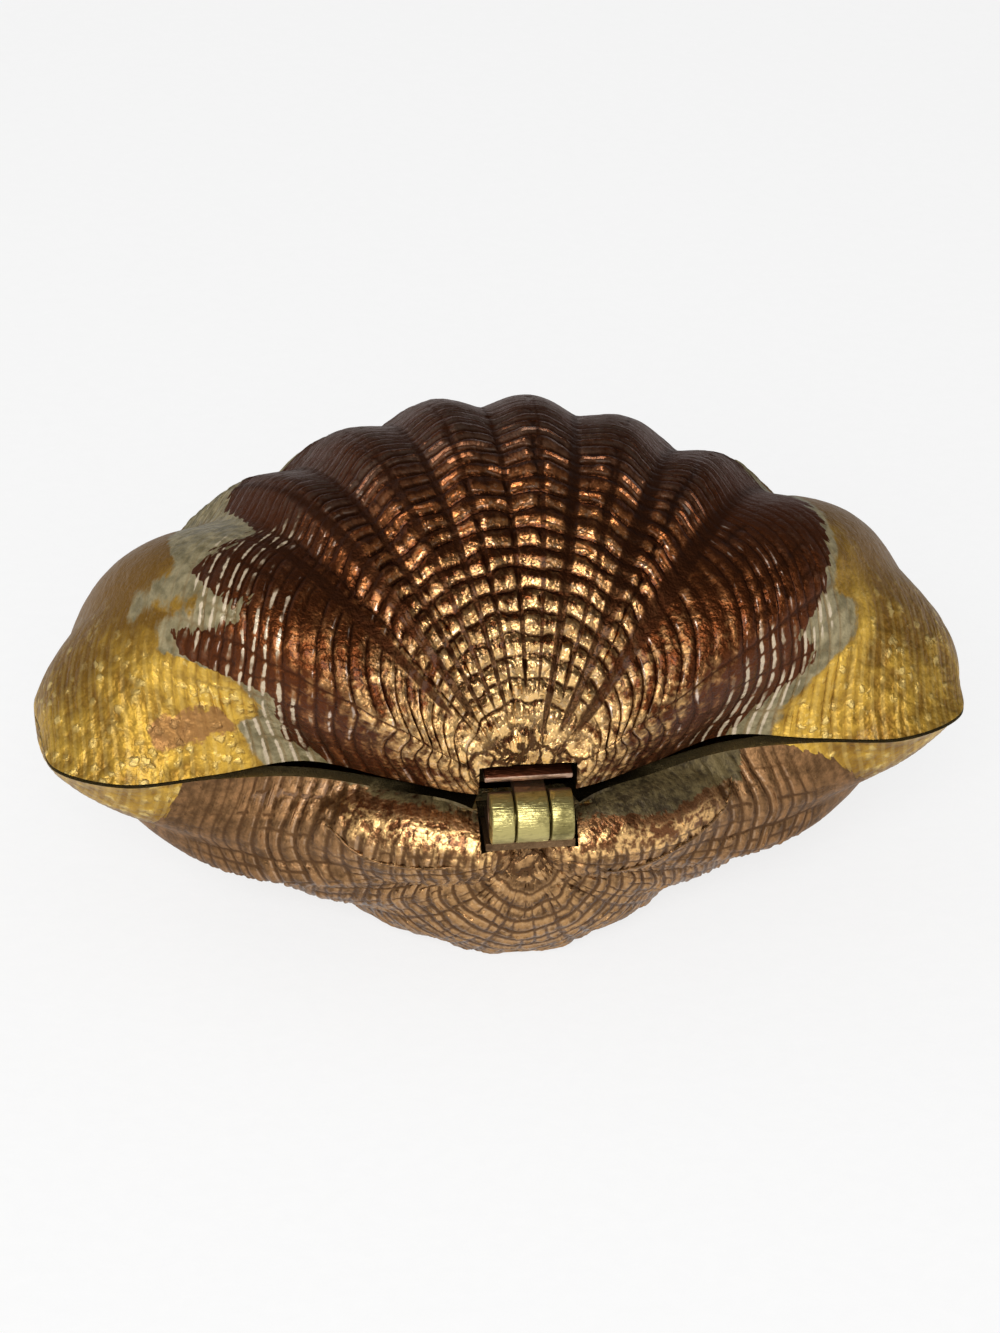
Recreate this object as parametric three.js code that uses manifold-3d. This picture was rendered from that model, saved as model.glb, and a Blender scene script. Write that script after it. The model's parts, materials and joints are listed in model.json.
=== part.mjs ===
// Shell trinket box: a ribbed lid and base, cast in metal and joined by a barrel hinge at the back.
// Millimetres, +Z up. The box opens towards -Y. The hinge axis runs along X at the back.
// The parts are drawn from the hinge axis (Y = 0, Z = 0 at the seam) and moved to the floor at the end.
import * as THREE from 'three';
import { mergeVertices } from 'three/addons/utils/BufferGeometryUtils.js';
import Module from 'manifold-3d';

const wasm = await Module();
wasm.setup();

// Overall size of the closed box
const HALF_WIDTH = 35;
const FRONT_REACH = 46.5;
const TIP_SETBACK = 15.3;
const LID_HEIGHT = 20.5;
const BASE_DEPTH = 15.7;

// Casting
const LID_WALL = 2;
const BASE_WALL = 2;
const FLOOR_THICKNESS = 2;
const SEAM_GAP = 0.3;
const FOLD_HEIGHT = 1;
const FOLDS_PER_SIDE = 5;
// Shares of the way from the hinge to the edge where folds begin, are full and turn level
const FOLD_START = 0.1;
const FOLD_FULL = 0.5;
const FOLD_LEVEL = 0.8;
const UMBO_SETBACK = 1.5;
const LID_UMBO_LIFT = 0.5;
const BASE_UMBO_DROP = 3.4;

// Ear lobes of the base beside the hinge
const EAR_LENGTH = 13;
const EAR_HEIGHT = 6;
const EAR_THICKNESS = 5;
const EAR_OFFSET = 9.7;
const EAR_SETBACK = 3.6;
const EAR_DROP = 3;
const EAR_SLANT = THREE.MathUtils.degToRad(27);
const SHELF_DROP = 0.5;

// Hinge
const BARREL_RADIUS = 1.85;
const CENTRE_KNUCKLE_LENGTH = 2.4;
const SIDE_KNUCKLE_LENGTH = 1.75;
const KNUCKLE_GAP = 0.25;
const PIN_RADIUS = 0.6;
const PIN_CLEARANCE = 0.2;
const TAIL_THICKNESS = 0.7;
const LID_LEAF_THICKNESS = 0.9;
const BASE_LEAF_THICKNESS = 0.6;
const LID_LEAF_SETBACK = 1.2;
const BASE_LEAF_SETBACK = 0;
const LEAF_REACH = 3.6;
const SEAT_GAP = 0.3;
const HINGE_BLOCK_WALL = 1.6;

// Closing magnets behind the front edge
const MAGNET_RADIUS = 2;
const MAGNET_THICKNESS = 1.2;
const MAGNET_SETBACK = 5.6;
const MAGNET_RECESS = 0.2;
const BOSS_WALL = 0.9;
const BOSS_HEIGHT = 3.6;

// Facets
const OUTER_COLUMNS = 60;
const OUTER_ROWS = 18;
const INNER_COLUMNS = 32;
const INNER_ROWS = 10;
const EAR_COLUMNS = 20;
const EAR_ROWS = 12;
const ROUND_SIDES = 24;
const CUT_MARGIN = 5;

const BARREL_LENGTH = CENTRE_KNUCKLE_LENGTH + 2 * (SIDE_KNUCKLE_LENGTH + KNUCKLE_GAP);
const LEAF_HALF_WIDTH = BARREL_LENGTH / 2;
const POCKET_HALF_WIDTH = LEAF_HALF_WIDTH + SEAT_GAP;
const POCKET_REACH = LEAF_REACH + SEAT_GAP;
const BLOCK_HALF_WIDTH = POCKET_HALF_WIDTH + HINGE_BLOCK_WALL;
const LEAF_INNER = BARREL_RADIUS + SEAT_GAP;
const LAST_CREST = (Math.PI / 2) * (1 - 0.5 / FOLDS_PER_SIDE);
const MARGIN_HALF_WIDTH = (HALF_WIDTH - FOLD_HEIGHT) / Math.sin(LAST_CREST);
const MARGIN_REACH = FRONT_REACH - FOLD_HEIGHT;
const MIDDLE = new THREE.Vector3(0, -MARGIN_REACH / 2, 0);
const MAGNET_Y = MAGNET_SETBACK - MARGIN_REACH;
const MAGNET_DEPTH = SEAM_GAP / 2 + MAGNET_RECESS;

// Bezier handles of the rib valleys from the centre outwards, as shares of the half width, of the
// reach to the front and of the valve's height: the first where the rib leaves the hinge, the second
// where it comes down to the front edge.
const LID_VALLEYS = [
  { leave: [0, 0.03, 1.36], arrive: [0, 0.83, 1.19] },
  { leave: [0.16, 0.03, 1.31], arrive: [0.18, 0.78, 1.17] },
  { leave: [0.3, 0.02, 1.17], arrive: [0.36, 0.69, 1.06] },
  { leave: [0.39, 0.01, 1.01], arrive: [0.53, 0.57, 0.98] },
  { leave: [0.61, -0.01, 0.74], arrive: [0.86, 0.4, 0.75] },
];
const BASE_VALLEYS = [
  { leave: [0, -0.03, 1.65], arrive: [0, 0.81, 1.4] },
  { leave: [0.21, -0.05, 1.38], arrive: [0.32, 0.71, 1.28] },
  { leave: [0.34, -0.01, 1.02], arrive: [0.61, 0.6, 1.07] },
  { leave: [0.38, 0.04, 0.71], arrive: [0.84, 0.41, 0.93] },
  { leave: [0.34, 0.06, 0.42], arrive: [0.96, 0.24, 0.61] },
];

// Back edge from the hinge to the tip: share of the half width, share of the tip's setback, and the
// height in millimetres by which the edge stands off the seam.
const LID_BACK_EDGE = [
  [0.13, 0.15, 0.8],
  [0.27, 0.33, 0.9],
  [0.45, 0.56, 0.6],
  [0.64, 0.52, 0],
  [0.83, 0.48, 0],
  [0.97, 0.67, 0],
];
const BASE_BACK_EDGE = [
  [0.13, 0.08, 1],
  [0.27, 0.2, 0.8],
  [0.45, 0.46, 0.4],
  [0.64, 0.51, 0],
  [0.83, 0.48, 0],
  [0.97, 0.67, 0],
];

const LID_VALVE = {
  side: 1,
  height: LID_HEIGHT,
  wall: LID_WALL,
  crown: LID_WALL,
  valleys: LID_VALLEYS,
  backEdge: LID_BACK_EDGE,
  umbo: LID_UMBO_LIFT,
  leafThickness: LID_LEAF_THICKNESS,
  leafSetback: LID_LEAF_SETBACK,
};
const BASE_VALVE = {
  side: -1,
  height: BASE_DEPTH,
  wall: BASE_WALL,
  crown: FLOOR_THICKNESS,
  valleys: BASE_VALLEYS,
  backEdge: BASE_BACK_EDGE,
  umbo: BASE_UMBO_DROP,
  leafThickness: BASE_LEAF_THICKNESS,
  leafSetback: BASE_LEAF_SETBACK,
};

// Front edge at rib coordinate w, which runs from 0 in the middle to the last fold at the tip
function frontEdge(w) {
  const angle = (Math.PI / 2) * (w / FOLDS_PER_SIDE);
  const reach = TIP_SETBACK + (MARGIN_REACH - TIP_SETBACK) * Math.cos(angle);
  return new THREE.Vector3(MARGIN_HALF_WIDTH * Math.sin(angle), -reach, 0);
}

function valleyGuide(valve, valley, w) {
  const start = new THREE.Vector3(0, -UMBO_SETBACK, valve.side * valve.umbo);
  const handle = ([x, reach, height]) =>
    new THREE.Vector3(x * HALF_WIDTH, -reach * FRONT_REACH, valve.side * height * valve.height);
  return new THREE.CubicBezierCurve3(start, handle(valley.leave), handle(valley.arrive), frontEdge(w));
}

function backGuide(valve) {
  const start = new THREE.Vector3(0, -UMBO_SETBACK, valve.side * valve.umbo);
  const points = valve.backEdge.map(
    ([x, setback, lift]) =>
      new THREE.Vector3(x * MARGIN_HALF_WIDTH, -setback * TIP_SETBACK, valve.side * lift)
  );
  return new THREE.CatmullRomCurve3([start, ...points, frontEdge(FOLDS_PER_SIDE)]);
}

// Points of the valve without its folds, in rows from the hinge to the edge
function smoothRows(valve, columns, rows) {
  const guides = valve.valleys.map((valley, w) => valleyGuide(valve, valley, w));
  guides.push(backGuide(valve));
  const grid = [];
  for (let row = 0; row <= rows; row += 1) {
    const half = guides.map((guide) => guide.getPoint(row / rows));
    const mirrored = half.slice(1).reverse();
    const across = mirrored.map((p) => new THREE.Vector3(-p.x, p.y, p.z)).concat(half);
    const curve = new THREE.CatmullRomCurve3(across, false, 'catmullrom');
    const line = [];
    for (let column = 0; column <= columns; column += 1) {
      line.push(curve.getPoint(column / columns));
    }
    grid.push(line);
  }
  return grid;
}

function outwardNormal(grid, row, column) {
  const line = grid[row];
  const left = line[Math.max(column - 1, 0)];
  const right = line[Math.min(column + 1, line.length - 1)];
  const back = grid[row - 1][column];
  const front = grid[Math.min(row + 1, grid.length - 1)][column];
  const across = new THREE.Vector3().subVectors(right, left);
  const along = new THREE.Vector3().subVectors(front, back);
  return across.cross(along).negate().normalize();
}

// Folds grow from nothing at the hinge to their full height halfway to the edge
function foldHeight(column, columns, t) {
  const w = (2 * column / columns - 1) * FOLDS_PER_SIDE;
  const growth = THREE.MathUtils.smoothstep(t, FOLD_START, FOLD_FULL);
  return FOLD_HEIGHT * growth * Math.abs(Math.sin(Math.PI * w));
}

function foldedRows(valve) {
  const grid = smoothRows(valve, OUTER_COLUMNS, OUTER_ROWS);
  return grid.map((line, row) => {
    const t = row / OUTER_ROWS;
    const level = 1 - THREE.MathUtils.smoothstep(t, FOLD_LEVEL, 1);
    return line.map((point, column) => {
      if (row === 0) {
        return point;
      }
      const normal = outwardNormal(grid, row, column).multiplyScalar(valve.side);
      normal.z *= level;
      normal.normalize();
      return point.clone().addScaledVector(normal, foldHeight(column, OUTER_COLUMNS, t));
    });
  });
}

// Closed body between a valve's surface and a fan of faces across its edge
function closedValve(grid) {
  const rows = grid.length - 1;
  const columns = grid[0].length - 1;
  const points = [grid[0][0], MIDDLE];
  const index = (row, column) => (row === 0 ? 0 : 2 + (row - 1) * (columns + 1) + column);
  for (let row = 1; row <= rows; row += 1) {
    points.push(...grid[row]);
  }
  const faces = [];
  for (let row = 0; row < rows; row += 1) {
    for (let column = 0; column < columns; column += 1) {
      const a = index(row, column);
      const b = index(row, column + 1);
      const c = index(row + 1, column + 1);
      const d = index(row + 1, column);
      faces.push([a, d, c]);
      if (a !== b) {
        faces.push([a, c, b]);
      }
    }
  }
  const edge = [0];
  for (let row = 1; row <= rows; row += 1) {
    edge.push(index(row, columns));
  }
  for (let column = columns - 1; column >= 0; column -= 1) {
    edge.push(index(rows, column));
  }
  for (let row = rows - 1; row >= 1; row -= 1) {
    edge.push(index(row, 0));
  }
  edge.forEach((corner, i) => faces.push([corner, edge[(i + 1) % edge.length], 1]));
  return geometryFrom(points, faces);
}

function signedVolume(points, faces) {
  return faces.reduce((sum, [a, b, c]) => {
    const cross = new THREE.Vector3().crossVectors(points[b], points[c]);
    return sum + points[a].dot(cross) / 6;
  }, 0);
}

function geometryFrom(points, faces) {
  const facing = signedVolume(points, faces) > 0 ? faces : faces.map(([a, b, c]) => [a, c, b]);
  const geometry = new THREE.BufferGeometry();
  geometry.setAttribute('position', new THREE.Float32BufferAttribute(points.flatMap((p) => p.toArray()), 3));
  geometry.setIndex(facing.flat());
  return geometry;
}

function solid(geometry) {
  const bare = geometry.clone();
  bare.deleteAttribute('normal');
  bare.deleteAttribute('uv');
  const merged = mergeVertices(bare, 1e-5);
  return new wasm.Manifold(
    new wasm.Mesh({
      numProp: 3,
      vertProperties: new Float32Array(merged.attributes.position.array),
      triVerts: new Uint32Array(merged.index.array),
    })
  );
}

function geometryOf(body) {
  const mesh = body.getMesh();
  const geometry = new THREE.BufferGeometry();
  geometry.setAttribute('position', new THREE.BufferAttribute(new Float32Array(mesh.vertProperties), 3));
  geometry.setIndex(new THREE.BufferAttribute(new Uint32Array(mesh.triVerts), 1));
  return geometry;
}

function box(low, high) {
  const geometry = new THREE.BoxGeometry(high[0] - low[0], high[1] - low[1], high[2] - low[2]);
  geometry.translate((low[0] + high[0]) / 2, (low[1] + high[1]) / 2, (low[2] + high[2]) / 2);
  return geometry;
}

// Solid round piece about the Y axis
function turned(radius, start, end) {
  const outline = [
    new THREE.Vector2(0, start),
    new THREE.Vector2(radius, start),
    new THREE.Vector2(radius, end),
    new THREE.Vector2(0, end),
  ];
  return new THREE.LatheGeometry(outline, ROUND_SIDES);
}

// Disc along Z between two heights on the valve's own side of the seam
function upright(side, radius, near, far) {
  const geometry = turned(radius, Math.min(side * near, side * far), Math.max(side * near, side * far));
  geometry.rotateX(Math.PI / 2);
  return geometry.translate(0, MAGNET_Y, 0);
}

// Rod along X between two ends
function lengthwise(radius, left, right) {
  return turned(radius, left, right).rotateZ(-Math.PI / 2);
}

// Box that reaches from one height to another on the valve's own side of the seam
function sideBox(side, halfWidth, front, back, near, far) {
  const heights = [side * near, side * far];
  return box([-halfWidth, front, Math.min(...heights)], [halfWidth, back, Math.max(...heights)]);
}

function cavity(valve) {
  const overrun = SEAM_GAP + SHELF_DROP;
  const scale = new THREE.Vector3(
    1 - valve.wall / MARGIN_HALF_WIDTH,
    1 + valve.wall / MIDDLE.y,
    1 - (valve.crown - overrun) / valve.height
  );
  const grid = smoothRows(valve, INNER_COLUMNS, INNER_ROWS);
  const shrunk = grid.map((line) => line.map((p) => p.clone().sub(MIDDLE).multiply(scale).add(MIDDLE)));
  const geometry = closedValve(shrunk);
  const space = solid(geometry.translate(0, 0, -valve.side * overrun));
  const reach = HALF_WIDTH + FRONT_REACH;
  const deepest = valve.height - valve.crown;
  return space.intersect(solid(sideBox(valve.side, reach, -reach, reach, -reach, deepest)));
}

function pocketHeight(valve) {
  return LEAF_INNER + valve.leafThickness + SEAT_GAP;
}

// Thick metal behind the hinge pocket and round the magnet, kept inside the casting's outer face
function innerBlocks(valve) {
  const front = -POCKET_REACH - HINGE_BLOCK_WALL;
  const depth = pocketHeight(valve) + HINGE_BLOCK_WALL;
  const block = solid(sideBox(valve.side, BLOCK_HALF_WIDTH, front, 0, 0, depth));
  const bossRadius = MAGNET_RADIUS + SEAT_GAP + BOSS_WALL;
  const boss = solid(upright(valve.side, bossRadius, 0, BOSS_HEIGHT));
  return block.add(boss);
}

function pockets(valve) {
  const past = -CUT_MARGIN;
  const roof = pocketHeight(valve);
  const hinge = solid(sideBox(valve.side, POCKET_HALF_WIDTH, -POCKET_REACH, CUT_MARGIN, past, roof));
  const depth = MAGNET_DEPTH + MAGNET_THICKNESS + SEAT_GAP;
  return hinge.add(solid(upright(valve.side, MAGNET_RADIUS + SEAT_GAP, past, depth)));
}

function casting(valve, outer) {
  const hollow = outer.subtract(cavity(valve));
  return hollow.add(innerBlocks(valve).intersect(outer)).subtract(pockets(valve));
}

function lidShell() {
  const geometry = closedValve(foldedRows(LID_VALVE));
  const outer = solid(geometry.translate(0, 0, SEAM_GAP / 2));
  return geometryOf(casting(LID_VALVE, outer));
}

function earLobe(side) {
  const geometry = new THREE.SphereGeometry(0.5, EAR_COLUMNS, EAR_ROWS);
  geometry.scale(EAR_LENGTH, EAR_THICKNESS, EAR_HEIGHT);
  geometry.rotateZ(-side * EAR_SLANT);
  geometry.translate(side * EAR_OFFSET, -EAR_SETBACK, -EAR_DROP);
  return solid(geometry);
}

// Metal between the two lobes, above the point where the folds of the base start
function hingeBridge() {
  const front = -POCKET_REACH - HINGE_BLOCK_WALL;
  return solid(sideBox(-1, BLOCK_HALF_WIDTH, front, -UMBO_SETBACK, SHELF_DROP, BASE_UMBO_DROP));
}

function baseShell() {
  const geometry = closedValve(foldedRows(BASE_VALVE));
  const valve = solid(geometry.translate(0, 0, -SEAM_GAP / 2));
  const lobes = earLobe(1).add(earLobe(-1)).add(hingeBridge());
  const reach = HALF_WIDTH + FRONT_REACH;
  const belowShelf = solid(box([-reach, -reach, -reach], [reach, reach, -SHELF_DROP]));
  const aboveSole = solid(box([-reach, -reach, -BASE_DEPTH], [reach, reach, reach]));
  const outer = valve.add(lobes.intersect(belowShelf)).intersect(aboveSole);
  return geometryOf(casting(BASE_VALVE, outer));
}

// Barrel piece with the flat tail that lies against its leaf, above or below the pin
function knuckle(side, left, right) {
  const barrel = solid(lengthwise(BARREL_RADIUS, left, right));
  const heights = [side * (BARREL_RADIUS - TAIL_THICKNESS), side * BARREL_RADIUS];
  const tail = solid(box([left, -LEAF_REACH, Math.min(...heights)], [right, 0, Math.max(...heights)]));
  const bore = solid(lengthwise(PIN_RADIUS + PIN_CLEARANCE, left - CUT_MARGIN, right + CUT_MARGIN));
  return geometryOf(barrel.add(tail).subtract(bore));
}

function leaf(valve) {
  const outer = LEAF_INNER + valve.leafThickness;
  return sideBox(valve.side, LEAF_HALF_WIDTH, -LEAF_REACH, -valve.leafSetback, LEAF_INNER, outer);
}

function hingePin() {
  return lengthwise(PIN_RADIUS, -BARREL_LENGTH / 2, BARREL_LENGTH / 2);
}

function magnet(side) {
  return upright(side, MAGNET_RADIUS, MAGNET_DEPTH, MAGNET_DEPTH + MAGNET_THICKNESS);
}

function paint(colour, roughness, metalness) {
  return new THREE.MeshStandardMaterial({ color: colour, roughness, metalness });
}

function named(name, geometry, material) {
  const mesh = new THREE.Mesh(geometry, material);
  mesh.name = name;
  return mesh;
}

const lidEnamel = () => paint(0x6b3417, 0.3, 0.6);
const baseEnamel = () => paint(0x7c4f2c, 0.45, 0.6);
const brass = () => paint(0x9a8a55, 0.4, 0.9);
const magnetSteel = () => paint(0x9ea2a6, 0.3, 1);

const sideEnd = BARREL_LENGTH / 2;
const sideStart = sideEnd - SIDE_KNUCKLE_LENGTH;
const centreEnd = CENTRE_KNUCKLE_LENGTH / 2;

const shellBox = new THREE.Group();
shellBox.add(
  named('lid_shell', lidShell(), lidEnamel()),
  named('lid_hinge_leaf', leaf(LID_VALVE), lidEnamel()),
  named('lid_hinge_knuckle', knuckle(1, -centreEnd, centreEnd), brass()),
  named('lid_magnet', magnet(1), magnetSteel()),
  named('base_shell', baseShell(), baseEnamel()),
  named('base_hinge_leaf', leaf(BASE_VALVE), brass()),
  named('base_hinge_knuckle_left', knuckle(-1, sideStart, sideEnd), brass()),
  named('base_hinge_knuckle_right', knuckle(-1, -sideEnd, -sideStart), brass()),
  named('hinge_pin', hingePin(), brass()),
  named('base_magnet', magnet(-1), magnetSteel())
);

// Stand the box on its sole with the origin under the middle of its outline
const outline = new THREE.Box3().setFromObject(shellBox);
const middle = outline.getCenter(new THREE.Vector3());
shellBox.position.set(-middle.x, -middle.y, -outline.min.z);
shellBox.updateMatrixWorld(true);

export default shellBox;
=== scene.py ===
# Looks of the shell trinket box: engraved cast shells, enamel, barrel hinge and magnets.
# Shell points are worked out in millimetres from the hinge axis, with +Z up and the front of the
# box towards -Y, and are moved to the frame when a mesh is made.
import json
import math
from types import SimpleNamespace

import bmesh
import bpy
import numpy as np
from mathutils import Matrix, Vector, noise


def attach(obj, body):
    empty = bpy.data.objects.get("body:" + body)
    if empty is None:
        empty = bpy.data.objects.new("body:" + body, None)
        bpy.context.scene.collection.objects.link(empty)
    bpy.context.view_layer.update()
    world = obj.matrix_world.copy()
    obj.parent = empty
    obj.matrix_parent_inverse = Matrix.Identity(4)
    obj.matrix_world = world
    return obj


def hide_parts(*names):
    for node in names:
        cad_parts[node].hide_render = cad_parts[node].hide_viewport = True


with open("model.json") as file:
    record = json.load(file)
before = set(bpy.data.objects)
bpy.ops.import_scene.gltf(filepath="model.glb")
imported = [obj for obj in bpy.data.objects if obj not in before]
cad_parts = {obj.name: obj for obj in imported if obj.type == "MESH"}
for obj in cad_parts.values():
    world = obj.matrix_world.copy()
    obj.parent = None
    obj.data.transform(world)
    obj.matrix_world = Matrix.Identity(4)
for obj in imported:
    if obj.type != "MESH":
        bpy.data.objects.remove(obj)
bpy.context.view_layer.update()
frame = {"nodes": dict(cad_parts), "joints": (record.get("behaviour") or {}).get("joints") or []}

MM = 0.001
HINGE = Vector(frame["joints"][0]["pos_m"])

# The photograph's view: its pixels, the pixel of the hinge axis's middle, and the camera's place
IMAGE_SIZE = (1000, 1333)
HINGE_PIXEL = (531.5, 815.6)
FOCAL_PIXELS = 3668.6
CAMERA_DISTANCE = 0.26
CAMERA_ELEVATION = math.radians(32.0)
CAMERA_TURN = math.radians(7.3)
SENSOR_WIDTH = 36

# Overall size of the shells
HALF_WIDTH = 35
FRONT_REACH = 46.5
TIP_SETBACK = 15.3
LID_HEIGHT = 20.5
BASE_DEPTH = 15.7
WALL = 2
SEAM_GAP = 0.3
FOLD_HEIGHT = 1
FOLDS_PER_SIDE = 5
FOLD_START = 0.13
FOLD_FULL = 0.58
FOLD_LEVEL = 0.8
FOLD_SOFTNESS = 0.4
UMBO_SETBACK = 1.5
LID_UMBO_LIFT = 0.5
BASE_UMBO_DROP = 3.4
SHELF_DROP = 0.5
BACK_STEPS = 200
FIRST_SLOPE = 0.004
LAST_CREST = (math.pi / 2) * (1 - 0.5 / FOLDS_PER_SIDE)
MARGIN_HALF_WIDTH = (HALF_WIDTH - FOLD_HEIGHT) / math.sin(LAST_CREST)
MARGIN_REACH = FRONT_REACH - FOLD_HEIGHT
MIDDLE = np.array([0, -MARGIN_REACH / 2, 0])

# Ear lobes of the base beside the hinge
EAR_HALF_LENGTH = 8.2
EAR_HALF_THICKNESS = 3.4
EAR_HALF_HEIGHT = 3.4
EAR_OFFSET = 8.6
EAR_SETBACK = 5
EAR_DROP = 3.7
EAR_SLANT = math.radians(27)
EAR_BLEND = 0.7
BLEND_LIMIT = 30

# Hinge and magnets
BARREL_RADIUS = 1.85
CENTRE_KNUCKLE_LENGTH = 2.4
SIDE_KNUCKLE_LENGTH = 1.75
KNUCKLE_GAP = 0.25
BORE_RADIUS = 0.8
TAIL_THICKNESS = 0.7
LID_LEAF_THICKNESS = 0.9
BASE_LEAF_THICKNESS = 0.6
LEAF_REACH = 3.6
SEAT_GAP = 0.3
HINGE_BLOCK_WALL = 1.6
MAGNET_RADIUS = 2
MAGNET_SETBACK = 5.6
MAGNET_THICKNESS = 1.2
MAGNET_DEPTH = 0.35
BOSS_RADIUS = 3.2
BOSS_HEIGHT = 3.6
MAGNET_PLACE = (0, MAGNET_SETBACK - MARGIN_REACH)
BARREL_LENGTH = CENTRE_KNUCKLE_LENGTH + 2 * (SIDE_KNUCKLE_LENGTH + KNUCKLE_GAP)
POCKET_HALF_WIDTH = BARREL_LENGTH / 2 + SEAT_GAP
POCKET_REACH = LEAF_REACH + SEAT_GAP
BLOCK_HALF_WIDTH = POCKET_HALF_WIDTH + HINGE_BLOCK_WALL
CUT_MARGIN = 5
BRIDGE_CORNER = (-2.8, -0.9)
PIN_RADIUS = 0.6

# Fine shapes of the hinge and magnets, inside their solids
ROLLED_CENTRE = 2.3
ROLLED_SIDE = 1.62
ROLLED_GAP = 0.16
KNUCKLE_EDGE = 0.12
PIN_EDGE = 0.15
MAGNET_EDGE = 0.15
STRAP_START = 0.4
STRAP_END = 0.1
LEAF_EDGE = 0.1
PLATE_END = 3.15
# Height in millimetres over the hinge axis above which the lid's leaf plate is painted darker, as shade under
# the lid
LEAF_SHADED_ABOVE = 2.6
SLIT_HALF = 0.07
SLIT_NEAR = 1
SLIT_FAR = 3
LID_PLATE = [
    (-3.6, 2.15), (-1.35, 2.15), (-1.24, 2.2), (-1.2, 2.3), (-1.2, 2.55), (-1.26, 2.66), (-1.9, 2.95),
    (-2.2, 3.05), (-3.6, 3.05),
]
EDGE_STEPS = 3
CIRCLE_SIDES = 96
BORE_SIDES = 48
BARREL_STEPS = 72
SLIT_TURN = math.radians(40)
SHARP_ANGLE = math.radians(50)

# Engraving
RADIAL_DEPTH = 0.17
GROWTH_DEPTH = 0.2
RIDGE_HEIGHT = 0.03
HAMMER_HEIGHT = 0.03
SWELL_HEIGHT = 0.07
SWELL_SPAN = 1.6
BROKEN_STRENGTH = 0.12
SETTLED = 0.15
LEAST_WOBBLE = 0.3
BAND_SLOPE = 3
TERRACE = ((0, 0.25, 0.5, 0.75, 1), (0, 1, 0.95, 0.7, 0))
EDGE_MARGIN = 0.5
CELL_STATIONS = 3
FLANK_CELLS = 5
LAST_GROWTH_LINE = 0.985
LINE_FADE = 0.04
INNER_COLUMNS = 120
INNER_ROWS = 40
RIB_SPAN = 7
VALVE_SPAN = 65
DRAG_LENGTH = 2.6
DRAG_WIDTH = 0.8
WAVES_ALONG = (1.5, 12)
FADE_WAVES = (3, 7, 13)
FADE_LEVEL = 0.95
FADE_SWING = 0.4
HALF_LINE_LIMIT = 0.24
POOL_RISE = 0.06

# Rib coordinates between which the flanks and the low parts of the flanks begin
FLANK = (2.7, 3.2)
LOW_FLANK = (3.8, 4.6)
# Shares of the way to the edge between which the hinge's side ends and the far and front sides begin
HINGE_SIDE = (0.08, 0.2)
FAR_SIDE = (0.43, 0.62)
FRONT_SIDE = (0.66, 0.78)

# Raised line round the lower side of each ear: rib coordinate and share of the way to the edge
EAR_BEADS = [
    [(4.23, 0.142), (4.21, 0.16), (4.2, 0.193), (4.23, 0.236), (4.26, 0.269), (4.31, 0.294), (4.4, 0.321),
     (4.54, 0.35), (4.6, 0.372)],
    [(-3.55, 0.13), (-3.6, 0.154), (-3.8, 0.198), (-3.98, 0.235), (-4.16, 0.274), (-4.22, 0.301),
     (-4.35, 0.336), (-4.42, 0.364), (-4.58, 0.395), (-4.73, 0.41)],
]
# Upper border of the enamel on the ears: height in millimetres over X
EAR_TOP = [
    (-16.5, -2.2), (-15.6, -1.95), (-13.3, -1.65), (-10.8, -1.95), (-9.7, -1.9), (-6.6, -1.35), (-4.1, -1.25),
    (0, -1.2), (3.3, -1.2), (5, -0.8), (6.8, -0.5), (10.4, -0.4), (13, -0.2), (14, 3),
]
BEAD_RADIUS = 0.14
BEAD_STEPS = 48
BEAD_SIDES = 10
BEAD_SMOOTHING = 4
BEAD_TAPER = 6

# What the enamel reads on bodies that are joined to a shell, and far outside an enamel, in millimetres
OUTSIDE = -9
PLAIN_PAINT = dict(brown=-OUTSIDE, gold=OUTSIDE, pink=OUTSIDE, streak=OUTSIDE, top=OUTSIDE, ear=0, t=0.3)
# Place of the faces on the map for baking: left, low, width and height
OUTER_MAP = (0, 0.25, 1, 0.75)
INNER_MAP = (0, 0, 0.5, 0.2)

# Studio
CEILING_LEVEL = 0.14
AMBIENT_LEVEL = 0.45
FLOOR_GLOW = 0.78
FLOOR_HALF_SIZE = 2
FLOOR_TONES = ((0.82, 0.82, 0.82), (0.86, 0.86, 0.86))
WHITE = (1.0, 1.0, 1.0)

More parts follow.
